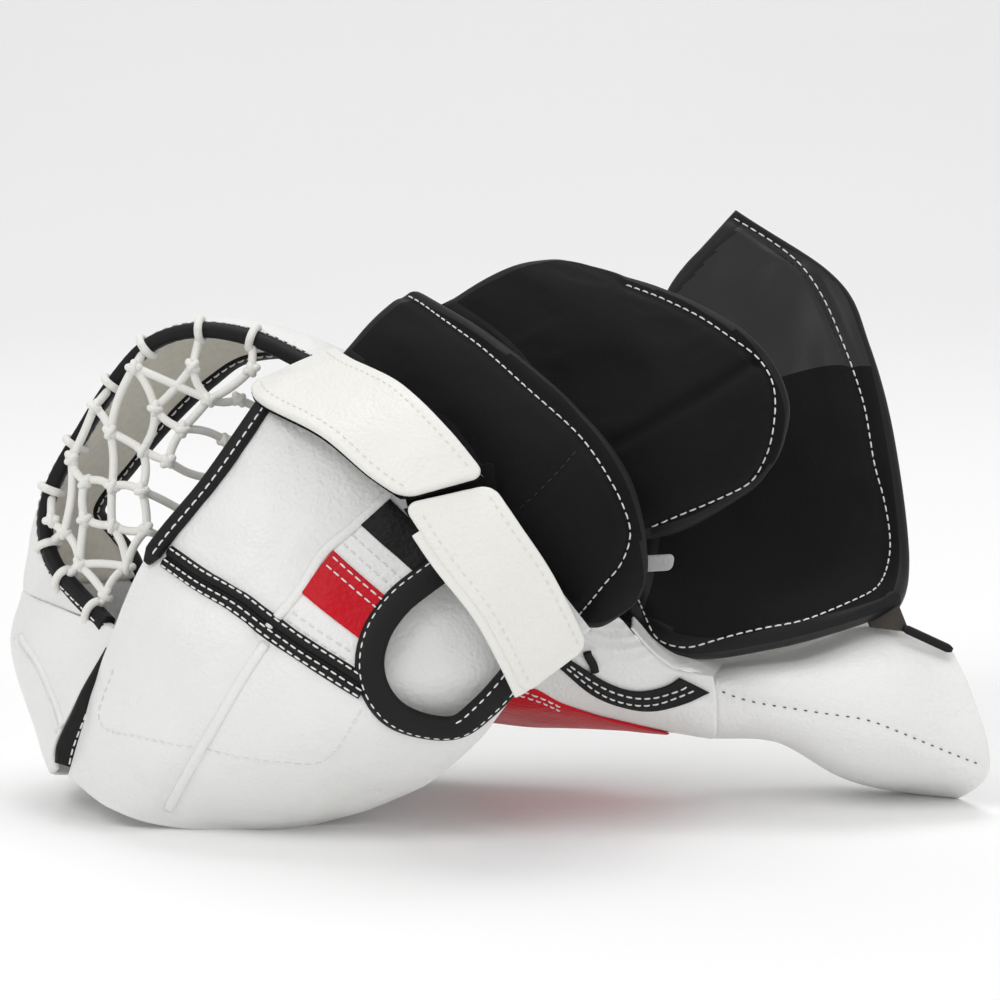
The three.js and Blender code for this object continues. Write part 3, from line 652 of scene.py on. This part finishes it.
# Material under construction: its nodes, and its patterns in millimetres
class Finish:
    def __init__(self, name, roughness, gloss=0.5, sheen=0.0):
        self.material = bpy.data.materials.new(name)
        self.material.use_nodes = True
        self.tree = self.material.node_tree
        self.shader = self.tree.nodes["Principled BSDF"]
        values = {"Roughness": roughness, "Specular IOR Level": gloss, "Sheen Weight": sheen}
        for key, value in values.items():
            self.shader.inputs[key].default_value = value
        coords = self.add("TexCoord").outputs
        self.place, self.surface = coords["Object"], coords["UV"]

    # Adds a node with its settings and its links
    def add(self, kind, settings=None, inputs=None):
        node = self.tree.nodes.new("ShaderNode" + kind)
        for key, value in (settings or {}).items():
            setattr(node, key, value)
        for key, value in (inputs or {}).items():
            if isinstance(value, bpy.types.NodeSocket):
                self.tree.links.new(value, node.inputs[key])
            else:
                node.inputs[key].default_value = value
        return node

    # Pattern whose cells, grains or bands are so many millimetres wide; bands follow the surface
    def pattern(self, kind, size, settings=None, output="Fac", **inputs):
        inputs["Vector"] = self.surface if kind == "Wave" else self.place
        inputs["Scale"] = PATTERN_SCALE[kind] / (size * MM)
        return self.add("Tex" + kind, settings, inputs).outputs[output]

    # Colour that wanders between two shades over a pattern
    def mottled(self, factor, tone, other):
        mix = self.add("Mix", {"data_type": "RGBA"}, {0: factor, 6: tone, 7: other})
        self.tree.links.new(mix.outputs[2], self.shader.inputs["Base Color"])

    # Relief of a depth in millimetres, on top of any before it
    def relief(self, height, depth, strength=1.0):
        inputs = {"Height": height, "Distance": depth * MM, "Strength": strength}
        before = self.shader.inputs["Normal"].links
        if before:
            inputs["Normal"] = before[0].from_socket
        bump = self.add("Bump", None, inputs)
        self.tree.links.new(bump.outputs["Normal"], self.shader.inputs["Normal"])


# Coated glove leather: pebbled grain, soft creases and a faint bloom of handling
def leather(name, tone, shade=0.9, roughness=0.42, gloss=0.4):
    look = Finish(name, roughness, gloss)
    look.mottled(look.pattern("Noise", 38, Detail=3), colour(tone), colour(tone, shade))
    look.relief(look.pattern("Noise", 16, Detail=5, Distortion=1.6), 1.4, 0.5)
    look.relief(look.pattern("Noise", 5, Detail=3), 0.4, 0.4)
    look.relief(look.pattern("Voronoi", 1.5, {"feature": "SMOOTH_F1"}, "Distance"), 0.3)
    return look.material


# Heavy plain-woven nylon: small square weave, dull, a little lighter where it is rubbed
def woven_nylon(name, tone, thread=0.6):
    look = Finish(name, 0.85, 0.2)
    look.mottled(look.pattern("Noise", 25, Detail=4), colour(tone, 0.35), colour(tone, 0.75))
    for direction in ("X", "Y"):
        look.relief(look.pattern("Wave", thread, {"bands_direction": direction}), 0.1, 0.5)
    look.relief(look.pattern("Noise", 9, Detail=3), 0.5, 0.4)
    return look.material


# Slick coated lining: smooth, with broad soft highlights and faint creases
def slick_lining(name, tone):
    look = Finish(name, 0.36, 0.45)
    look.mottled(look.pattern("Noise", 30), colour(tone, 0.35), colour(tone, 0.6))
    look.relief(look.pattern("Noise", 20, Detail=3, Distortion=0.8), 1.2, 0.4)
    look.relief(look.pattern("Noise", 0.6), 0.05, 0.3)
    return look.material


# Pressed felt: matt and fibrous, with small darker flecks
def felt(name, tone):
    look = Finish(name, 0.95, 0.2)
    look.mottled(look.pattern("Noise", 3, Detail=5), colour(tone, 0.85), colour(tone, 1.08))
    look.relief(look.pattern("Noise", 0.8, Detail=4), 0.3, 0.6)
    look.relief(look.pattern("Noise", 8, Detail=3), 0.6, 0.4)
    return look.material


# Woven binding tape: fine ribs across it, slightly glossy where it turns over the edge
def bound_tape(name, tone):
    look = Finish(name, 0.6, 0.3)
    look.mottled(look.pattern("Noise", 10, Detail=3), colour(tone, 0.6), colour(tone, 1.1))
    look.relief(look.pattern("Wave", 0.9, {"bands_direction": "X"}), 0.08, 0.3)
    look.relief(look.pattern("Noise", 3, Detail=3), 0.3, 0.45)
    return look.material


# Braided cord: slanting strands round it, which catch light one by one, with painted shade in the grooves
# between them
def braided(name, tone):
    look = Finish(name, 0.75, sheen=0.15)
    strands = look.pattern("Wave", 0.42, SLANTING)
    # Colour 7% darker where the strands' relief is low: painted shade in the grooves
    look.mottled(strands, colour(tone, 0.93), colour(tone))
    look.relief(strands, 0.12, 0.4)
    look.relief(look.pattern("Noise", 0.7, Detail=3), 0.15, 0.5)
    return look.material


# Sewing thread: twisted, a little shiny
def sewing_thread(name, tone):
    look = Finish(name, 0.5)
    look.mottled(look.pattern("Noise", 2), colour(tone, 0.9), colour(tone))
    look.relief(look.pattern("Wave", 0.35, SLANTING), 0.1, 0.6)
    return look.material


# Painted studio floor: even, matt, with hardly any grain
def floor_paint(name, tone):
    look = Finish(name, 0.9)
    look.mottled(look.pattern("Noise", 400), colour(tone), colour(tone, 0.98))
    return look.material


FINISHES = {
    "white_leather": leather("white coated leather", WHITE),
    "strap_leather": leather("white strap leather", WARM_WHITE, 0.95, 0.38),
    "red_leather": leather("red coated leather", RED, 0.75, 0.45, 0.2),
    "black_patch": leather("black coated leather", BLACK, 0.7, 0.5, 0.2),
    "black_nylon": woven_nylon("black woven nylon", NYLON_BLACK),
    "smooth_lining": slick_lining("black slick lining", SMOOTH_BLACK),
    "rim_felt": felt("grey beige felt", FELT_GREY),
    "black_binding": bound_tape("black binding tape", BLACK),
    "net_cord": braided("white braided cord", WARM_WHITE),
    "white_thread": sewing_thread("white sewing thread", THREAD_WHITE),
    # Grey thread for the catching face's stitches; on the cuff seam the same grey is painted shade in the
    # stitch holes
    "grey_thread_and_hole_shade": sewing_thread("grey thread and painted stitch hole shade", WEBBING_GREY),
    "black_thread": sewing_thread("black sewing thread", BLACK),
    "grey_tab": leather("grey rubber tab", TAB_GREY, 0.9, 0.5),
    "grey_webbing": woven_nylon("grey webbing", WEBBING_GREY, 1.1),
    "hook_pile": felt("black hook pile", BLACK),
}


# One visible piece that rides on the glove, with its finishes in order; a slot that it is given is not used
def piece(name, made, *finishes, node=None, fill=None, slot=None):
    points, faces, uv, which = made
    mesh = bpy.data.meshes.new(name)
    mesh.from_pydata(((points + TO_FRAME) * MM).tolist(), [], faces)
    for finish in finishes:
        mesh.materials.append(FINISHES[finish])
    mesh.polygons.foreach_set("material_index", which)
    mesh.polygons.foreach_set("use_smooth", [True] * len(faces))
    layer = mesh.uv_layers.new(name="surface")
    corners = np.empty(len(mesh.loops), dtype=np.int32)
    mesh.loops.foreach_get("vertex_index", corners)
    layer.data.foreach_set("uv", uv[corners].astype(np.float32).ravel())
    shell = bmesh.new()
    shell.from_mesh(mesh)
    bmesh.ops.delete(shell, geom=[v for v in shell.verts if not v.link_faces], context="VERTS")
    bmesh.ops.recalc_face_normals(shell, faces=shell.faces)
    shell.to_mesh(mesh)
    shell.free()
    obj = bpy.data.objects.new(name, mesh)
    bpy.context.scene.collection.objects.link(obj)
    if node:
        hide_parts(node)
    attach(obj, "root")
    return obj


# Panel that is a piece of its own
def sewn(name, finish, rows, face=0.0, back=-LEATHER, node=None, fill=None, slot=None, **form):
    panel = Panel(rows, face, back, **form)
    piece(name, panel.made(), finish, node=node, fill=fill, slot=slot)
    return panel


# Rows of stitches as one piece
def thread_piece(name, lines, finish="white_thread", slot="white_leather", **sizes):
    beads = [bead for points, normals in lines for bead in stitched(points, normals, **sizes)]
    piece(name, joined(beads), finish, slot=slot)


# Square on to the back of the hand, from a little above
def camera():
    rise = radians(CAMERA_ELEVATION)
    away = Vector((0, -cos(rise), sin(rise))) * CAMERA_AWAY
    lens = bpy.data.cameras.new("camera")
    lens.lens = LENS
    lens.sensor_width = SENSOR
    obj = bpy.data.objects.new("camera", lens)
    obj.location = Vector(LOOK_AT) + away
    obj.rotation_euler = (-away).to_track_quat("-Z", "Y").to_euler()
    bpy.context.scene.collection.objects.link(obj)
    bpy.context.scene.camera = obj


def softbox(name, place, size, power):
    light = bpy.data.lights.new(name, "AREA")
    light.size = size
    light.energy = power
    obj = bpy.data.objects.new(name, light)
    obj.location = place
    obj.rotation_euler = (Vector((0, 0, 0.1)) - Vector(place)).to_track_quat("-Z", "Y").to_euler()
    bpy.context.scene.collection.objects.link(obj)


# Floor that curves up into the backdrop, with the lights
def studio():
    mesh = bpy.data.meshes.new("floor")
    half, back, height, bend = 4.0, 3.0, 4.0, 1.5
    profile = [(-half, 0.0), (back - bend, 0.0)]
    profile += [(back - bend + bend * sin(a), bend - bend * cos(a)) for a in np.linspace(0.1, pi / 2, 12)]
    profile += [(back, height)]
    points = [(x, y, z) for y, z in profile for x in (-half, half)]
    faces = [(2 * k, 2 * k + 1, 2 * k + 3, 2 * k + 2) for k in range(len(profile) - 1)]
    mesh.from_pydata(points, [], faces)
    mesh.polygons.foreach_set("use_smooth", [True] * len(faces))
    mesh.materials.append(floor_paint("pale studio floor", FLOOR_WHITE))
    floor = bpy.data.objects.new("floor", mesh)
    bpy.context.scene.collection.objects.link(floor)
    for name, values in SOFTBOXES.items():
        softbox(name, *values)
    world = bpy.data.worlds.new("studio")
    bpy.context.scene.world = world
    world.use_nodes = True
    background = world.node_tree.nodes["Background"].inputs
    background["Color"].default_value = colour("FFFFFF")
    background["Strength"].default_value = SURROUNDING_LIGHT
    bpy.context.scene.view_settings.view_transform = "Standard"


# Height over a face: soft swelling, pressed down towards the edge by a reach in millimetres
def edge_swell(size, height, reach=0.0):
    return lambda points, edge: swell(points, size, height) - reach * np.exp(-((edge / 5) ** 2))


# Pocket rim: felt inside, white leather outside, both edges bound and stitched
def pocket_rim():
    band = Panel(RIM, RIM_WALL / 2, -RIM_WALL / 2, u=(0.03, 0.97), spacing=2.2, rounding=2.0,
                 face_shape=edge_swell(30, 0.5), back_shape=edge_swell(40, 0.8))
    piece("rim_band", band.made(0, 1), "rim_felt", "white_leather", node="pocket_rim", fill=FOAM_FILL)
    v = np.linspace(0, 1, 240)
    stitches = []
    for name, node, middle, seam in (
        ("rim_net_edge", "rim_net_binding", 0.06, 0.0875),
        ("rim_mouth_edge", "rim_mouth_binding", 0.94, 0.9125),
    ):
        line, out = line_on(RIM, middle, v)
        tape = sweep(line, out, BINDING_WIDTH, BINDING_THICK, sides=16, squareness=3.2)
        piece(name, tape, "black_binding", node=node)
        places, ways = line_on(RIM, seam, v)
        for side in (1, -1):
            stitches.append((places + ways * side * (BINDING_THICK / 2 + SURFACE), ways * side))
    thread_piece("rim_stitches", stitches)
    return line_on(RIM, 0.06, v)


# End wall under the rim, with its raised double piping and the bound wedge beside the finger back
def fingertip_wall():
    wall = sewn("fingertip_leather", "white_leather", [RIM[-1], *TIP_WALL], node="fingertip_wall",
                fill=BOARD_FILL, spacing=2.2, back_shape=edge_swell(30, 1.2))
    wedge = sewn("wedge_tape", "black_binding", TIP_BINDING, 1.0, -3.0, node="tip_binding", spacing=1.5)
    thread_piece("wedge_stitches", [wedge.at(0.72, np.linspace(0.45, 0.97, 40))])
    front = Front(wall)
    for name, offset in (("wall_piping_lower", -1.12), ("wall_piping_upper", 1.12)):
        beside = [(x + offset, z + offset) for x, z in WALL_PIPING]
        places, ways = front.drop(beside, lift=0, step=1.2)
        piece(name, sweep(places, ways, width=2.6, height=2.6, sides=10), "white_leather")


# Padded leather over the backs of the fingers, and the stall that shows in its opening
def finger_back():
    def relieved(points, edge):
        height = swell(points, size=34, height=1.8, seed=3) + swell(points, size=12, height=0.5, seed=9)
        for seam in (UPPER_SEAM, LOWER_SEAM, STRIP_LINE):
            height = height + groove(points, seam, width=7.0, depth=1.6)
        return height - 1.2 * np.exp(-((edge / 6) ** 2))

    shell = sewn("finger_leather", "white_leather", FINGER_BACK, node="finger_back", fill=BOARD_FILL,
                 spacing=1.7, rounding=1.8, face_shape=relieved,
                 cut=lambda points: inside(points, OPENING_LINE))
    sewn("stall_leather", "white_leather", FINGER_BACK, -STALL_DEPTH, -STALL_DEPTH - LEATHER,
         node="finger_stall", fill=BOARD_FILL, u=(0.5, 0.97), v=(0.1, 0.75), face_shape=edge_swell(20, 1.5))
    return shell


# Bound edge beside the pocket, and the rolled edge of the opening with its stitches
def finger_back_edges(front):
    v = np.linspace(0, 0.5, 120)
    line, out = line_on(FINGER_BACK, 0.02, v)
    narrowing = np.interp(v, [0, 0.47, 0.5], [1.0, 1.0, 0.45])
    tape = sweep(line, out, 7.6 * narrowing, 5.5 * narrowing, sides=16, squareness=3.0)
    piece("finger_edge_tape", tape, "black_binding", node="finger_back_binding")
    edge_row = line_on(FINGER_BACK, 0.034, v[:-6], 2.5)
    around, up = front.drop(OPENING_LINE, lift=0.2, step=1.2)
    roll = sweep(around, up, OPENING_ROLL, height=5.4, sides=20, squareness=2.4)
    piece("opening_tape", roll, "black_binding", node="opening_binding")
    outward = unit(np.cross(np.gradient(around, axis=0), up)) * OPENING_STITCH_OUT
    seat = around + up * 1.9
    inner = slice(int(INNER_ROW_FROM * len(around)), None)
    rows = [edge_row, (seat + outward, up), ((seat - outward)[inner], up[inner])]
    thread_piece("edge_stitches", rows)


# Raised white seams, and dotted rows of stitches
def finger_back_seams(front):
    for name, line in (("upper_seam", UPPER_SEAM), ("lower_seam", LOWER_SEAM)):
        piece(name, sweep(*front.drop(line, 0.3), width=4.2, height=2.2), "white_leather")
    rows = [front.drop(line, 0.15) for line in DOTTED_LINES]
    thread_piece("finger_stitches", rows, radius=FINE_THREAD, length=2.6, gap=1.6)


# Strip of black tape with two raised ribs, and the stripe patches
def finger_back_patches(front):
    places, ways = front.drop(STRIP_LINE, 0)
    tape = sweep(places, ways, width=10.5, height=1.8, sides=14, squareness=4)
    piece("seam_tape", tape, "black_binding", node="finger_seam_strip")
    across = unit(np.cross(np.gradient(places, axis=0), ways))
    ribs = [
        sweep(places + across * side * 2.6 + ways * 0.6, ways, width=4.4, height=3.2) for side in (-1, 1)
    ]
    piece("seam_tape_ribs", joined(ribs), "black_binding")
    offsets = ((-3.9, 2.0), (3.9, 2.0), (1.2, 2.1))
    rows = [(places + across * aside + ways * high, ways) for aside, high in offsets]
    for name, node, outline, finish, shares in (
        ("black_stripe_patch", "stripe_black", BLACK_STRIPE, "black_patch", []),
        ("red_stripe_patch", "stripe_red", RED_STRIPE, "red_leather", [0.1, 0.3]),
    ):
        a, b, c, d = outline
        patch = patch_on(front, [a, d], [b, c], 1.0)
        piece(name, patch.made(), finish, node=node)
        rows += [patch.at(np.linspace(0.04, 0.98, 60), share) for share in shares]
    thread_piece("patch_stitches", rows, length=2.6, gap=1.3)


# Little-finger side, catching face with its seams, the leather at its two ends, and the thumb roll
def underside():
    sewn("side_leather", "white_leather", SIDE_WALL, node="side_wall", fill=BOARD_FILL,
         face_shape=edge_swell(30, 0.8))
    palm = Panel(CATCHING_FACE, PALM_BOARD, 0, rounding=3.0, face_shape=puffed(PALM_SEAMS),
                 back_shape=edge_swell(40, 1.5, 1.0))
    piece("palm_leather", palm.made(1, 0), "white_leather", "black_nylon", node="catching_face",
          fill=FOAM_FILL)
    share = np.linspace(0.035, 0.965, 220)
    rows = [palm.at(share, v) for v in (0.05, 0.955)]
    rows += [palm.at(u, share) for u in (0.05, 0.96)]
    rows += [palm.at(share, v) for v in (0.29, 0.31, 0.62, 0.64)]
    thread_piece("palm_stitches", rows, "grey_thread_and_hole_shade", radius=FINE_THREAD, length=3.0, gap=1.6)
    line, out = line_on(CATCHING_FACE, 0.0, np.linspace(0.02, 0.99, 120), PALM_BOARD / 2)
    tape = sweep(line, out, width=5.0, height=PALM_BOARD + 2.4, sides=16, squareness=3.0)
    piece("palm_edge_tape", tape, "black_binding")
    for name, table, height in (("tip_gusset", TIP_GUSSET, 0.8), ("wrist_gusset", WRIST_GUSSET, 1.2)):
        sewn(name + "_leather", "white_leather", table, 0, -GUSSET_WALL, rounding=0.8,
             face_shape=edge_swell(20, height))
    sewn("thumb_leather", "white_leather", THUMB, node="thumb", fill=BOARD_FILL,
         face_shape=edge_swell(30, 1.2))


# Puffed pad with its stitched channels, and shallower quilted lines
def puffed(lines, quilted=()):
    def shape(points, edge):
        height = 2.0 * (1 - np.exp(-((edge / 14) ** 2))) + swell(points, size=22, height=1.0, seed=5)
        for line in lines:
            height = height + groove(points, line, width=2.6, depth=2.6)
        for line in quilted:
            height = height + groove(points, line, width=4.0, depth=1.2)
        return height

    return shape


# Moves a pad's face as far as a coarse copy of it goes when it is blown up as cloth, held along
# its border, back and seams
def blown_up(panel, rows, depth, seams):
    coarse = Panel(rows, 0, -depth, spacing=CLOTH_STEP, rounding=4.0)
    points, faces, _, _ = coarse.made()
    mesh = bpy.data.meshes.new("pad_form")
    mesh.from_pydata((points * MM).tolist(), [], faces)
    form = bpy.data.objects.new("pad_form", mesh)
    scene = bpy.context.scene
    scene.collection.objects.link(form)
    held = coarse.edge < HELD_EDGE
    for seam in seams:
        held |= near(coarse.surface, seam) < HELD_SEAM
    fixed = np.concatenate([held.ravel(), np.ones(held.size, bool)])
    group = form.vertex_groups.new(name="held")
    group.add([int(k) for k in np.flatnonzero(fixed)], 1.0, "REPLACE")
    settings = form.modifiers.new("air", "CLOTH").settings
    settings.use_pressure = True
    settings.uniform_pressure_force = AIR_PRESSURE
    settings.effector_weights.gravity = 0.0
    settings.vertex_group_mass = "held"
    for moment in range(1, SETTLED_AT + 1):
        scene.frame_set(moment)
    swollen = form.evaluated_get(bpy.context.evaluated_depsgraph_get()).to_mesh()
    after = np.empty(len(points) * 3)
    swollen.vertices.foreach_get("co", after)
    moved = after.reshape(-1, 3)[: held.size] / MM - points[: held.size]
    reach = np.linalg.norm(moved, axis=1, keepdims=True)
    moved *= np.minimum(1, MOST_SWELL / np.maximum(reach, 1e-6))
    cells = np.meshgrid(*coarse.cell(panel.u, panel.v))
    panel.face += between(moved.reshape(coarse.face.shape), *cells)
    scene.frame_set(1)
    bpy.data.objects.remove(form)


# Slick cloth above the lining's seam and nylon below it, inside the rolled edge
def lining_zones(panel):
    zone = np.where(panel.v[:, None] < LINING_SEAM_SHARE, 0, 1)
    return np.where(panel.edge < ROLLED_EDGE, 2, zone)


# Nylon inside the rolled edge
def pad_zones(panel):
    return np.where(panel.edge < ROLLED_EDGE, 1, 0)


# Pads over the hand and the wrist, the lining with its leather back, and the cloth beside the thumb
def pads():
    rows, quilting = [], []
    for name, node, table, corners, seams, quilted in (
        ("hand_pad_cover", "back_hand_pad", BACK_HAND_PAD, (3, 7), [HAND_STITCH], [QUILTING]),
        ("wrist_pad_cover", "wrist_pad", WRIST_PAD, (0, 14), [WRIST_STITCH, WRIST_FOLD], []),
    ):
        pad = Panel(table, 1, -HAND_PAD, spacing=1.5, rounding=5.5, corners=corners,
                    face_shape=puffed(seams, quilted))
        blown_up(pad, table, HAND_PAD, seams + quilted)
        cover = pad.made(zones=pad_zones)
        piece(name, cover, "black_nylon", "black_binding", node=node, fill=FOAM_FILL)
        front = Front(pad)
        rows.append(front.drop(seams[0]))
        quilting += [front.drop(line, 0) for line in quilted]
    lining = Panel(CUFF_LINING, 0, -LINING, spacing=1.7, rounding=5.0, face_shape=puffed([LINING_STITCH]))
    blown_up(lining, CUFF_LINING, LINING, [LINING_STITCH])
    piece("lining_cover", lining.made(zones=lining_zones), "smooth_lining", "black_nylon", "black_binding",
          node="cuff_lining", fill=FOAM_FILL)
    sewn("cuff_back_leather", "white_leather", CUFF_LINING, -LINING - 0.4, -LINING - 0.4 - LEATHER,
         node="cuff_back", fill=BOARD_FILL, u=(0.03, 0.97), v=(0.02, 0.92), back_shape=edge_swell(30, 1.0))
    rows.append(Front(lining).drop(LINING_STITCH))
    thread_piece("pad_stitches", rows, slot="black_nylon", radius=PAD_THREAD, length=2.9)
    thread_piece("quilting_stitches", quilting, "black_thread", "black_nylon", radius=PAD_THREAD,
                 length=2.4, gap=1.6)
    gusset = Panel(HAND_GUSSET, 0, -0.8, rounding=0.4)
    cloth = piece("gusset_cloth", gusset.made(), "black_nylon", node="hand_gusset")


# Straps with their welted edges and dotted stitches
def straps():
    rows = []
    for name, table in (("upper_strap", UPPER_STRAP), ("lower_strap", LOWER_STRAP)):
        strap = sewn(name + "_leather", "strap_leather", table, STRAP, 0, node=name, slot="white_leather",
                     spacing=1.5, rounding=1.6, corners=(6, 6), face_shape=edge_swell(16, 0.5))
        rows += [strap.at(share, np.linspace(0.06, 0.94, 160), 0.05) for share in (0.12, 0.88)]
        sewn(name + "_lining", "hook_pile", table, 0.6, -1.0, slot="black_binding", u=(-0.03, 1.0),
             rounding=0.5, corners=(5, 5))
    thread_piece("strap_stitches", rows, radius=FINE_THREAD, length=2.0, gap=2.0)
    line, out = line_on(LOWER_STRAP, 0.0, np.linspace(0.12, 0.99, 90))
    welt = sweep(line + out * 1.2, out, width=7.0, height=2.4, sides=14, squareness=3.0)
    piece("lower_strap_welt", welt, "strap_leather", slot="white_leather")
    sewn("hook_pad_pile", "hook_pile", HOOK_PAD, 0, -1.2, node="strap_hook_pad", slot="black_binding",
         u=(0, 0.96), spacing=1.2, rounding=0.5, corners=(3, 3))


# Rolled leather of the cuff with its seam, and the tab, webbing and piping sewn in above it
def cuff():
    def seamed(points, edge):
        outside = points[..., 1] < 0
        line = groove(points, CUFF_SEAM, width=2.5, depth=1.0)
        return swell(points, size=30, height=1.4) + outside * line

    shell = sewn("cuff_leather", "white_leather", CUFF_SHELL, node="cuff_shell", fill=LOOSE_FILL,
                 spacing=1.8, face_shape=seamed)
    # Short grey beads along the cuff seam: painted shade in its stitch holes
    hole_shade = [Front(shell).drop(CUFF_SEAM)]
    thread_piece("cuff_seam_hole_shade", hole_shade, "grey_thread_and_hole_shade", radius=FINE_THREAD, length=1.3, gap=3.2)
    sewn("cuff_tab_rubber", "grey_tab", TAB, 0.4, -1.2, node="cuff_tab", spacing=0.8, rounding=0.6,
         corners=(0, 2.5))
    sewn("cuff_webbing_tape", "grey_webbing", WEBBING, 0.3, -1.2, node="cuff_webbing", spacing=1.0,
         rounding=0.5)
    thickness = PIPING_WIDTH * np.interp(np.linspace(0, 1, 20), [0, 0.08, 0.92, 1], [0.6, 1, 1, 0.5])
    piping = sweep(np.linspace(*PIPING_ENDS, 20), [0.0, -1.0, 0.3], thickness, thickness)
    piece("cuff_piping_tube", piping, "black_binding", node="cuff_piping")


# The heel's surface below the red patch's upper line
def below_red_line(u, v):
    columns = surface_at(PALM_HEEL, u, np.linspace(0, 1, 200))
    above = columns[..., 2] - np.interp(columns[..., 0], *zip(*HEEL_RED_LINE))
    row, column = np.argmax(above < 0, axis=0), np.arange(len(u))
    top = row - above[row, column] / (above[row, column] - above[row - 1, column])
    rows = top + v[:, None] * (len(columns) - 3 - top)
    return between(columns, np.broadcast_to(column, rows.shape), rows)


# Gathered leather under the hand, with its red patch, fold, black strip and elastic loop
def heel():
    def gathered(points, edge):
        x, z = points[..., 0], points[..., 2]
        creased = np.exp(-(((x - 50) / 14) ** 2) - ((z - 81) / 10) ** 2)
        wander = swell(points, size=18, height=1.5, seed=2)
        waves = np.sin(2 * pi * (z - 0.012 * (x - 52) ** 2 + wander) / GATHER)
        return 1.4 * waves * creased + swell(points, size=26, height=0.9, seed=7)

    front = Front(sewn("heel_leather", "white_leather", PALM_HEEL, node="palm_heel", fill=LOOSE_FILL,
                       spacing=1.0, face_shape=gathered))
    sewn("heel_red_patch", "red_leather", below_red_line, 1.2, 0.2, node="heel_red", u=(0, 0.8),
         spacing=1.4, rounding=0.8, face_shape=gathered)
    sewn("heel_fold_leather", "white_leather", HEEL_FOLD, 0, -1.5, rounding=0.6,
         face_shape=edge_swell(12, 0.8))
    strip = patch_on(front, *HEEL_STRIP, 1.8)
    piece("heel_strip_tape", strip.made(), "black_binding", node="heel_strip")
    rows = [strip.at(np.linspace(0.02, 0.95, 80), share) for share in (0.4, 0.66)]
    rows += [front.drop([(-4, z + 6), (14, z), (24, z - 6)], 1.4) for z in (55, 52.6)]
    thread_piece("heel_stitches", rows, length=2.6, gap=1.4)
    loop = sweep(*front.drop(HEEL_LOOP, lift=1.2, step=0.8), width=3.6, height=1.8)
    piece("heel_elastic_loop", loop, "black_binding", node="heel_loop")


# Cord between two knots, with a slight bow
def net_cord(start, end, bow):
    t = np.linspace(0, 1, max(int(np.linalg.norm(end - start) / 2), 4))[:, None]
    side = unit(np.cross(unit(end - start), [0.0, 1.0, 0.0]))
    points = start + t * (end - start) + np.sin(pi * t) * side * bow
    return sweep(points, [0.0, -1.0, 0.0], CORD, CORD, sides=10)


# Closed loop of cord round a centre
def ring(centre, first, second, across, along, thick):
    angle = np.linspace(0, 2 * pi, 28, endpoint=False)[:, None]
    radial = np.cos(angle) * first + np.sin(angle) * second
    points = centre + np.cos(angle) * first * across + np.sin(angle) * second * along
    return sweep(points, unit(radial), thick, thick, closed=True, sides=10)


# Knot: turns of the cord drawn tight over each other
def net_knot(centre, turn):
    x, y, z = np.eye(3)
    first = cos(turn) * x + sin(turn) * z
    second = -sin(turn) * x + cos(turn) * z
    return [
        ring(centre - y * 0.6, first, y, 2.4, 2.0, 3.2),
        ring(centre - y * 0.9, second, y, 2.1, 2.2, 3.0),
        ring(centre - y * 0.2, unit(first + second), y, 1.2, 1.8, 3.2),
    ]


# Laced net: cords, knots, and the turns round the rim's bound edge
def net(line, out):
    knots = {name: np.array(place, float) for name, place in NET_KNOTS.items()}
    made = []
    for k, pair in enumerate(NET_CORDS):
        a, b = pair.split("-")
        made.append(net_cord(knots[a], knots[b], 1.6 * sin(2.3 * k)))
    for k, place in enumerate(knots.values()):
        made += net_knot(place, 1.1 * k)
    across = unit(np.cross(np.gradient(line, axis=0), out))
    half_width, half_thick = BINDING_WIDTH / 2 + LACE_ROOM, BINDING_THICK / 2 + LACE_ROOM
    for (x, z), name in LACES:
        k = int(np.argmin(np.hypot(line[:, 0] - x, line[:, 2] - z)))
        made.append(ring(line[k], across[k], out[k], half_width, half_thick, CORD))
        made.append(net_cord(line[k], knots[name], 0.0))
    piece("net_cords", joined(made), "net_cord", node="pocket_net")


camera()
studio()
rim_edge = pocket_rim()
fingertip_wall()
shell_front = Front(finger_back())
finger_back_edges(shell_front)
finger_back_seams(shell_front)
finger_back_patches(shell_front)
underside()
pads()
straps()
cuff()
heel()
net(*rim_edge)
